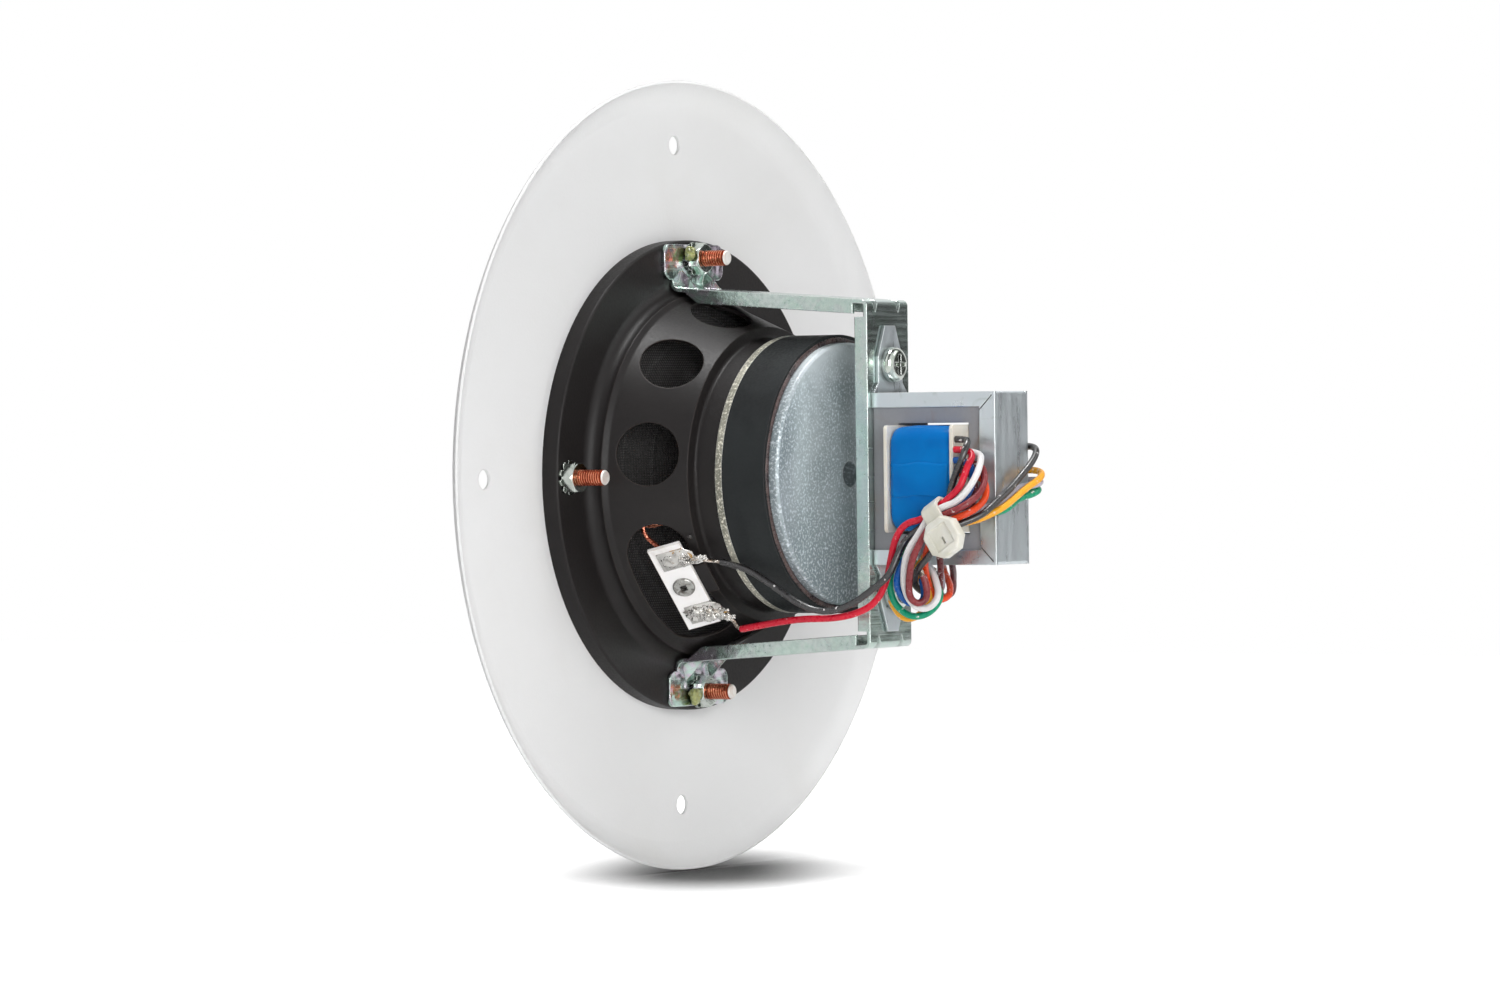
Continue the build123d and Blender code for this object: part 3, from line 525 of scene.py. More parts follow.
@dataclass(frozen=True)
class SpeckledPlate:
    """Zinc on the magnet's cut plates, dull and speckled, with painted light: lighter towards -X, darker towards +X."""

    name: str = "speckled_plate"
    colour: Colour = srgb(146, 158, 163)
    speck: Colour = srgb(214, 223, 228)
    dull: Colour = srgb(134, 147, 152)
    upper: Colour = srgb(240, 248, 252)
    # upper: the lighter colour towards -X, painted light from above
    worn: Colour = srgb(220, 224, 222)
    painted_light_lean: tuple[float, float] = (0.022, -0.034)

    def make(self) -> bpy.types.Material:
        """Build the material.

        Returns:
            The material.
        """
        finish = Finish(self.name, self.colour, 0.42, 0.3)
        edges = finish.soften_edges(0.0005, 4.0)
        # painted light: the colour turns towards the lighter one along -X
        painted_lit_colour = finish.mix(finish.stretch(finish.axis("X"), self.painted_light_lean), self.colour, self.upper)
        broad = finish.effect(Effect.PATCHES, Scale=40.0, Warp=0.5, Low=0.3, High=0.75, Ground=painted_lit_colour, Patch=self.dull)
        specks = finish.effect(Effect.GRAIN, Scale=1500.0, Detail=2.5, Low=0.5, High=0.66)
        speckled = finish.mix(specks["Mask"], broad["Color"], self.speck)
        finish.feed(finish.mix(edges, speckled, self.worn), "Base Color")
        finish.feed(finish.span(specks["Mask"], 0.48, 0.3), "Roughness")
        finish.bump(specks["Height"], 0.00008, 0.7)
        return finish.material


@dataclass(frozen=True)
class Laminations:
    """Edges of the stacked core sheets, which lie one behind the other along Y."""

    colour: Colour = srgb(150, 151, 156)
    rust: Colour = srgb(146, 134, 126)
    sheet: float = 0.5

    def make(self) -> bpy.types.Material:
        """Build the material.

        Returns:
            The material.
        """
        finish = Finish("core_sheets", self.colour, 0.5, 0.25)
        finish.soften_edges(0.0003, 0.0)
        lines = finish.node("TexWave", wave_type="BANDS", bands_direction="Y", wave_profile="SIN")
        bands = 1.0 / (self.sheet * MM) / FULL_TURN * 2
        finish.fill(lines, {"Scale": bands, "Distortion": 0.0, "Vector": finish.place})
        patches = finish.effect(Effect.PATCHES, Scale=120.0, Warp=1.0, Low=0.5, High=0.85, Ground=self.colour,
                                Patch=self.rust)
        finish.feed(patches["Color"], "Base Color")
        finish.bump(lines.outputs["Fac"], 0.00004, 0.5)
        finish.grained((0.42, 0.6), 0.00004, 0.5, Scale=1800.0)
        return finish.material


@dataclass(frozen=True)
class Woven:
    """Cloth or pressed paper with a weave, read across the speaker's axis."""

    name: str
    colour: Colour
    light: Colour
    pitch: float = 500.0
    depth: float = 0.0002

    def make(self) -> bpy.types.Material:
        """Build the material.

        Returns:
            The material.
        """
        finish = Finish(self.name, self.colour, 0.8)
        weave = finish.effect(Effect.WEAVE, Pitch=self.pitch)
        finish.feed(finish.mix(weave["Height"], self.colour, self.light), "Base Color")
        finish.bump(weave["Height"], self.depth, 0.8)
        finish.grained((0.7, 0.9), 0.0001, 0.4, Scale=900.0)
        finish.set({"Sheen Weight": 0.3})
        return finish.material


@dataclass(frozen=True)
class Plain:
    """A dielectric or metal with grain, soft patches, worn edges and, where asked, painted shade in its crevices, for
    most small parts.
    """

    name: str
    colour: Colour
    patch: Colour
    roughness: float
    metallic: float = 0.0
    patch_scale: float = 80.0
    grain_scale: float = 1500.0
    relief: float = 0.00003
    worn: Colour | None = None
    coat: float = 0.0
    through: float = 0.0
    sharp: bool = True
    shine: float = 0.5
    shut: float = 0.0
    painted_hollow_shade: Colour = srgb(40, 42, 38)

    def make(self) -> bpy.types.Material:
        """Build the material.

        Returns:
            The material.
        """
        finish = Finish(self.name, self.colour, self.roughness, self.metallic)
        edges = finish.soften_edges(0.0003, 5.0) if self.sharp else None
        shown = finish.effect(Effect.PATCHES, Scale=self.patch_scale, Ground=self.colour, Patch=self.patch)["Color"]
        # painted shade: places shut in by other surfaces turn towards the dark hollow colour
        if self.shut:
            mask = finish.effect(Effect.PAINTED_CREVICE_SHADE, Reach=0.0014, Depth=self.shut)["Mask"]
            shown = finish.mix(mask, shown, self.painted_hollow_shade)
        if self.worn is not None and edges is not None:
            shown = finish.mix(edges, shown, self.worn)
        finish.feed(shown, "Base Color")
        rough = (max(self.roughness - 0.08, 0.05), self.roughness + 0.1)
        finish.grained(rough, self.relief, 0.6, Scale=self.grain_scale)
        finish.set({"Specular IOR Level": self.shine})
        if self.coat:
            finish.set({"Coat Weight": self.coat, "Coat Roughness": 0.12})
        if self.through:
            finish.set({"Subsurface Weight": self.through, "Subsurface Radius": (0.002, 0.0016, 0.0012),
                        "Subsurface Scale": 0.8})
        return finish.material


@dataclass(frozen=True)
class Board:
    """Pale fibre board whose cut edges show tan."""

    colour: Colour = srgb(244, 242, 241)
    smudge: Colour = srgb(226, 221, 218)
    cut: Colour = srgb(178, 132, 92)

    def make(self) -> bpy.types.Material:
        """Build the material.

        Returns:
            The material.
        """
        finish = Finish("fibre_board", self.colour, 0.5)
        edges = finish.soften_edges(0.0003, 3.0)
        patches = finish.effect(Effect.PATCHES, Scale=160.0, Low=0.5, High=0.8, Ground=self.colour, Patch=self.smudge)
        finish.feed(finish.mix(edges, patches["Color"], self.cut), "Base Color")
        finish.grained((0.42, 0.58), 0.00004, 0.6, Scale=1600.0)
        return finish.material


@dataclass(frozen=True)
class Solder:
    """Bright tin with dark hollows and a little amber rosin."""

    tin: Colour = srgb(206, 204, 200)
    dark: Colour = srgb(104, 100, 94)
    rosin: Colour = srgb(170, 128, 52)

    def make(self) -> bpy.types.Material:
        """Build the material.

        Returns:
            The material.
        """
        finish = Finish("solder", self.tin, 0.2, 1.0)
        hollows = finish.effect(Effect.PATCHES, Scale=200.0, Warp=0.4, Low=0.5, High=0.75, Ground=self.tin,
                                Patch=self.dark)
        rosin = finish.effect(Effect.PATCHES, Scale=260.0, Warp=0.8, Low=0.6, High=0.66, Ground=hollows["Color"],
                              Patch=self.rosin)
        finish.feed(rosin["Color"], "Base Color")
        finish.feed(finish.span(rosin["Mask"], 1.0, 0.0), "Metallic")
        finish.feed(finish.span(hollows["Mask"], 0.14, 0.36), "Roughness")
        finish.bump(finish.effect(Effect.GRAIN, Scale=500.0, Detail=1.0)["Height"], 0.0002, 0.4)
        return finish.material


@dataclass(frozen=True)
class RivetSteel:
    """Bright rivet head, with painted shade in a round patch over its square socket."""

    colour: Colour = srgb(176, 176, 172)
    dull: Colour = srgb(112, 108, 102)
    painted_hollow_shade: Colour = srgb(34, 32, 30)
    middle: Point = (27.6, -30.44, 22.95)
    reach: float = 0.95
    blur: float = 0.12

    def make(self) -> bpy.types.Material:
        """Build the material.

        Returns:
            The material.
        """
        finish = Finish("rivet_steel", self.colour, 0.3, 1.0)
        away = finish.vector_maths("DISTANCE", finish.place, Vector(self.middle) * MM).outputs["Value"]
        inside = finish.stretch(away, ((self.reach + self.blur) * MM, (self.reach - self.blur) * MM))
        patches = finish.effect(Effect.PATCHES, Scale=600.0, Ground=self.colour, Patch=self.dull)
        # painted shade: a dark round patch over the socket
        finish.feed(finish.mix(inside, patches["Color"], self.painted_hollow_shade), "Base Color")
        finish.feed(finish.span(inside, 1.0, 0.0), "Metallic")
        finish.feed(finish.span(patches["Mask"], 0.22, 0.42), "Roughness")
        finish.bump(patches["Mask"], 0.00005, 0.5)
        return finish.material


@dataclass(frozen=True)
class Sheath:
    """Glossy soft sheath of one lead, scuffed here and there, with painted shade in soft patches of its darker shaded
    copy.
    """

    name: str
    colour: Colour
    painted_shade_tone: Colour
    scuff: Colour = srgb(236, 232, 230)
    scuffed: float = 0.655
    shine: float = 0.4

    def make(self) -> bpy.types.Material:
        """Build the material.

        Returns:
            The material.
        """
        finish = Finish(self.name, self.colour, 0.3)
        # painted shade: soft patches of the shaded copy of the sheath colour
        tone = finish.effect(Effect.PATCHES, Scale=70.0, Low=0.35, High=0.75, Ground=self.colour, Patch=self.painted_shade_tone)
        scuffs = finish.effect(Effect.GRAIN, Scale=700.0, Detail=4.0, Low=self.scuffed, High=self.scuffed + 0.06)
        finish.feed(finish.mix(scuffs["Mask"], tone["Color"], self.scuff), "Base Color")
        finish.grained((0.24, 0.38), 0.00005, 0.5, Scale=900.0)
        finish.set({"Specular IOR Level": self.shine, "Subsurface Weight": 0.06,
                    "Subsurface Radius": (0.0008, 0.0006, 0.0005)})
        return finish.material


@dataclass(frozen=True)
class Nylon:
    """Natural nylon of the cable tie: milky and a little see-through."""

    colour: Colour = srgb(228, 226, 216)
    patch: Colour = srgb(212, 210, 196)

    def make(self) -> bpy.types.Material:
        """Build the material.

        Returns:
            The material.
        """
        finish = Finish("tie_nylon", self.colour, 0.34)
        finish.soften_edges(0.0005, 0.0)
        patches = finish.effect(Effect.PATCHES, Scale=140.0, Ground=self.colour, Patch=self.patch)
        finish.feed(patches["Color"], "Base Color")
        finish.grained((0.28, 0.42), 0.00004, 0.5, Scale=1400.0)
        finish.set({"Subsurface Weight": 0.5, "Subsurface Radius": (0.003, 0.0028, 0.0024)})
        return finish.material


class LeadColour(Enum):
    """Sheath colours, each with a darker copy from its shaded side, which the sheath lays on in soft patches as painted
    shade.
    """

    RED = (srgb(214, 26, 52), srgb(178, 14, 40))
    BLACK = (srgb(34, 32, 33), srgb(20, 19, 20))
    WHITE = (srgb(236, 235, 234), srgb(214, 212, 212))
    BROWN = (srgb(150, 58, 62), srgb(112, 40, 44))
    BLUE = (srgb(0, 92, 176), srgb(0, 68, 140))
    ORANGE = (srgb(240, 80, 30), srgb(206, 58, 18))
    GREEN = (srgb(0, 150, 110), srgb(0, 116, 84))
    YELLOW = (srgb(246, 176, 44), srgb(226, 146, 24))
    GREY = (srgb(190, 184, 194), srgb(160, 152, 164))
    MAROON = (srgb(112, 42, 46), srgb(78, 24, 28))


class Palette:
    """Every finish, built once."""

    def __init__(self) -> None:
        """Build all materials."""
        self.powder = PowderCoat().make()
        self.black = BlackPaint().make()
        self.zinc = ZincPlate().make()
        self.strap_zinc = ZincPlate(
            name="strap_zinc", metal=0.86, colour=srgb(216, 224, 228), streak=srgb(208, 217, 219),
            bloom=srgb(200, 210, 216), rose=srgb(208, 202, 214), tarnish=srgb(188, 198, 196), roughness=0.31,
            grain=(60.0, 500.0, 60.0), waves=0.25).make()
        self.plate = SpeckledPlate().make()
        # its fourth colour is the lighter one towards -X, painted light
        self.front_plate = SpeckledPlate("front_plate", srgb(168, 166, 152), srgb(232, 228, 212), srgb(112, 112, 100),
                                         srgb(176, 174, 160)).make()
        self.ferrite = Plain("ferrite", srgb(40, 43, 44), srgb(32, 34, 35), 0.5, patch_scale=60, shine=0.16,
                             worn=srgb(70, 66, 66)).make()
        self.glue = Plain("magnet_glue", srgb(86, 70, 68), srgb(48, 38, 40), 0.3, patch_scale=300, relief=0.0002).make()
        self.copper = Plain("copper_plate", srgb(240, 156, 122), srgb(218, 122, 92), 0.24, 1.0, patch_scale=500,
                            sharp=False).make()
        # painted shade: a darker copy of the copper, for the stud's thread roots and core
        self.painted_groove_shade = Plain("copper_painted_groove_shade", srgb(158, 72, 48), srgb(112, 48, 32), 0.36, 1.0, patch_scale=500,
                            sharp=False).make()
        self.tip = Plain("stud_tip", srgb(240, 236, 232), srgb(222, 206, 196), 0.5, 0.5, patch_scale=300,
                         sharp=False).make()
        self.steel = Plain("bright_zinc", srgb(216, 222, 216), srgb(182, 192, 180), 0.12, 1.0, patch_scale=260,
                           worn=srgb(240, 242, 240), shut=1.1).make()
        self.washer = Plain("washer_steel", srgb(150, 158, 150), srgb(104, 114, 104), 0.22, 1.0, patch_scale=260,
                            worn=srgb(226, 230, 224), shut=1.4).make()
        self.rivet = RivetSteel().make()
        self.laminate = Laminations().make()
        self.bobbin = Plain("bobbin_nylon", srgb(232, 228, 218), srgb(222, 214, 198), 0.42, through=0.2).make()
        self.tape = Plain("blue_tape", srgb(0, 118, 196), srgb(0, 106, 184), 0.16, patch_scale=60, relief=0.00001,
                          sharp=False, shine=0.1).make()
        self.board = Board().make()
        self.solder = Solder().make()
        self.cone = Woven("cone_paper", srgb(20, 19, 19), srgb(50, 46, 44)).make()
        self.cloth = Woven("treated_cloth", srgb(22, 21, 21), srgb(44, 41, 40), 420.0).make()
        self.amber = Woven("spider_cloth", srgb(112, 70, 32), srgb(168, 116, 60), 420.0).make()
        self.former = Plain("coil_paper", srgb(150, 104, 60), srgb(120, 80, 46), 0.5).make()
        self.enamel = Plain("enamelled_copper", srgb(176, 90, 48), srgb(140, 62, 32), 0.3, 0.9).make()
        self.braid = Plain("braid_copper", srgb(240, 162, 134), srgb(168, 78, 58), 0.3, 1.0, patch_scale=700,
                           sharp=False).make()
        self.card = Plain("gasket_card", srgb(96, 88, 78), srgb(76, 70, 62), 0.8).make()
        self.nylon = Nylon().make()
        self.paint = Plain("lock_paint", srgb(158, 162, 100), srgb(104, 110, 58), 0.2, patch_scale=400, relief=0.0002,
                           coat=0.7, through=0.5, sharp=False).make()
        self.tinned = Plain("tinned_strand", srgb(206, 200, 192), srgb(150, 132, 116), 0.28, 1.0, patch_scale=900,
                            sharp=False).make()
        self.daub = Plain("cone_daub", srgb(30, 26, 24), srgb(18, 16, 16), 0.12, relief=0.0001, coat=0.8,
                          sharp=False).make()
        self.sheaths = {hue: Sheath(hue.name.lower() + "_sheath", *hue.value,
                            shine=1.0 if hue is LeadColour.BLACK else 0.4).make() for hue in LeadColour}
        log.info("finishes ready")

    def dress(self, finishes: dict[str, bpy.types.Material]) -> None:
        """Give carried-over solids their finishes.

        Args:
            finishes: Each finish by its solid's node.
        """
        for node, material in finishes.items():
            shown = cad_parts[node]
            shown.data.materials.clear()
            shown.data.materials.append(material)


# Making pieces


def place_mm(points: Sequence[Sequence[float]]) -> list[Vector]:
    """Turn millimetres into the frame's metres."""
    return [Vector(point) * MM for point in points]


def finish_piece(name: str, work: bmesh.types.BMesh, materials: Sequence[bpy.types.Material],
                 nodes: Sequence[str] = (), smooth: float = 45.0) -> bpy.types.Object:
    """Close a mesh being made into a named piece of the object.

    Args:
        name: The piece's plain name.
        work: The mesh being made, freed here.
        materials: Its finishes, by the faces' index.
        nodes: The solids that it stands for.
        smooth: Largest angle between faces that still shade as one, in degrees.

    Returns:
        The piece.
    """
    bmesh.ops.remove_doubles(work, verts=work.verts, dist=1e-6)
    bmesh.ops.recalc_face_normals(work, faces=work.faces)
    mesh = bpy.data.meshes.new(name)
    work.to_mesh(mesh)
    work.free()
    mesh.shade_smooth()
    mesh.set_sharp_from_angle(angle=math.radians(smooth))
    for material in materials:
        mesh.materials.append(material)
    piece = bpy.data.objects.new(name, mesh)
    bpy.context.scene.collection.objects.link(piece)
    if nodes:
        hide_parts(*nodes)
    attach(piece, "root")
    return piece


def spin_outline(work: bmesh.types.BMesh, outline: Sequence[tuple[float, float]], steps: int, closed: bool = False,
                 turns: int = 1, rise: float = 0.0) -> None:
    """Spin an outline round the speaker's axis.

    Args:
        work: The mesh being made.
        outline: Radius and level of each corner, in millimetres.
        steps: Segments of each turn.
        closed: Whether the last corner joins the first.
        turns: Number of turns.
        rise: Climb of each turn, in millimetres.
    """
    corners = [work.verts.new(Vector((radius, 0, level)) * MM) for radius, level in outline]
    sides = [work.edges.new(pair) for pair in zip(corners, corners[1:] + corners[:int(closed)])]
    bmesh.ops.spin(work, geom=corners + sides, cent=(0, 0, 0), axis=(0, 0, 1), dvec=(0, 0, rise / steps * MM),
                   angle=FULL_TURN * turns, steps=steps * turns, use_merge=not rise)


def spun_shell(outline: Sequence[tuple[float, float]], steps: int = 120) -> bmesh.types.BMesh:
    """Spin a closed outline once round the speaker's axis.

    Args:
        outline: Radius and level of each corner, in millimetres.
        steps: Segments of the full turn.

    Returns:
        The mesh being made.
    """
    work = bmesh.new()
    spin_outline(work, outline, steps, closed=True)
    return work


def loft(work: bmesh.types.BMesh, rings: Sequence[Sequence[bmesh.types.BMVert]]) -> None:
    """Join closed rings of as many vertices each, one after another, with faces.

    Args:
        work: The mesh being made.
        rings: The rings in order.
    """
    for low, high in zip(rings, rings[1:]):
        for index in range(len(low)):
            after = (index + 1) % len(low)
            work.faces.new((low[index], low[after], high[after], high[index]))


def roughen(work: bmesh.types.BMesh, pitch: float, depth: float, seed: float = 0.0) -> None:
    """Push every vertex along its normal by soft noise.

    Args:
        work: The mesh being made.
        pitch: Distance between bumps, in millimetres.
        depth: Their height, in millimetres.
        seed: Shifts the noise.
    """
    bmesh.ops.recalc_face_normals(work, faces=work.faces)
    work.normal_update()
    shifts = []
    for vert in work.verts:
        lift = noise.noise(vert.co / (pitch * MM) + Vector((seed, seed, seed)))
        shifts.append((vert, vert.normal * lift * depth * MM))
    for vert, shift in shifts:
        vert.co += shift


@dataclass
class WallSeat:
    """Place of the terminal strip on the basket's wall: along the rim, up the wall, outwards."""

    origin: Point = (26.695, -29.441, 22.4)
    outwards: Point = (0.6223, -0.6863, 0.3765)
    along: Point = (0.7408, 0.6717, 0.0)

    def matrix(self) -> Matrix:
        """Give the seat's place in metres, for points in millimetres.

        Returns:
            The matrix that carries a point on the seat into the frame.
        """
        normal = Vector(self.outwards).normalized()
        side = Vector(self.along).normalized()
        up = normal.cross(side)
        turn = Matrix((side, up, normal)).transposed().to_4x4()
        return Matrix.Translation(Vector(self.origin) * MM) @ turn @ Matrix.Scale(MM, 4)

    def world(self, points: Sequence[Sequence[float]]) -> list[Vector]:
        """Turn points on the seat, in millimetres, into the frame's metres."""
        seat = self.matrix()
        return [seat @ Vector(point) for point in points]


def nurbs_curve(name: str, points: Sequence[Vector], radius: float) -> bpy.types.Object:
    """Lay one smooth open tube along its control points.

    Args:
        name: The curve's plain name.
        points: Control points, in metres.
        radius: The tube's radius in metres, or 0 for a bare line.

    Returns:
        The curve's object.
    """
    data = bpy.data.curves.new(name, "CURVE")
    data.dimensions = "3D"
    spline = data.splines.new("NURBS")
    spline.points.add(len(points) - 1)
    for target, point in zip(spline.points, points):
        target.co = (*point, 1.0)
    spline.order_u = 3
    spline.use_endpoint_u = True
    spline.resolution_u = 8
    data.bevel_depth = radius
    data.bevel_resolution = 5
    data.use_fill_caps = True
    curve = bpy.data.objects.new(name, data)
    bpy.context.scene.collection.objects.link(curve)
    return curve


def traced(points: Sequence[Vector]) -> list[Vector]:
    """Read the smooth line that a route's spline makes.

    Args:
        points: Control points, in metres.

    Returns:
        Points along the line.
    """
    curve = nurbs_curve("traced_line", points, 0.0)
    line = bpy.data.meshes.new_from_object(curve)
    path = [vert.co.copy() for vert in line.vertices]
    bpy.data.meshes.remove(line)
    bpy.data.curves.remove(curve.data)
    return path


@dataclass
class Strands:
    """Bare wire strands twisted round one line."""

    count: int = 3
    strand: float = 0.3
    offset: float = 0.3
    turn_length: float = 3.0
    sides: int = 6

    def build(self, work: bmesh.types.BMesh, path: Sequence[Vector]) -> None:
        """Add the strands to a mesh.

        Args:
            work: The mesh being made.
            path: Points that the bundle follows, in metres.
        """
        steps = [0.0]
        for before, after in zip(path, path[1:]):
            steps.append(steps[-1] + (after - before).length)
        side = Vector((0, 0, 1)) if abs((path[-1] - path[0]).normalized().z) < 0.9 else Vector((1, 0, 0))
        for index in range(self.count):
            line = []
            for place, (point, run) in enumerate(zip(path, steps)):
                ahead = path[min(place + 1, len(path) - 1)] - path[max(place - 1, 0)]
                across = ahead.cross(side).normalized()
                up = across.cross(ahead).normalized()
                angle = FULL_TURN * (index / self.count + run / (self.turn_length * MM))
                line.append(point + self.offset * MM * (across * math.cos(angle) + up * math.sin(angle)))
            self.sweep(work, line)

    def sweep(self, work: bmesh.types.BMesh, line: Sequence[Vector]) -> None:
        """Sweep one strand's circle along its line.

        Args:
            work: The mesh being made.
            line: The strand's centre line, in metres.
        """
        rings = []
        for place, point in enumerate(line):
            ahead = (line[min(place + 1, len(line) - 1)] - line[max(place - 1, 0)]).normalized()
            turn = Vector((0, 0, 1)).rotation_difference(ahead).to_matrix().to_4x4()
            made = bmesh.ops.create_circle(work, segments=self.sides, radius=self.strand / 2 * MM,
                                           cap_ends=place in (0, len(line) - 1),
                                           matrix=Matrix.Translation(point) @ turn)
            rings.append(made["verts"])
        loft(work, rings)


# Leads


@dataclass(frozen=True)
class LeadSpec:
    """One insulated lead: its solid, sheath, real length and route."""

    node: str
    hue: LeadColour
    slot: str
    length: float
    route: Route
    far_end: str = "bare"


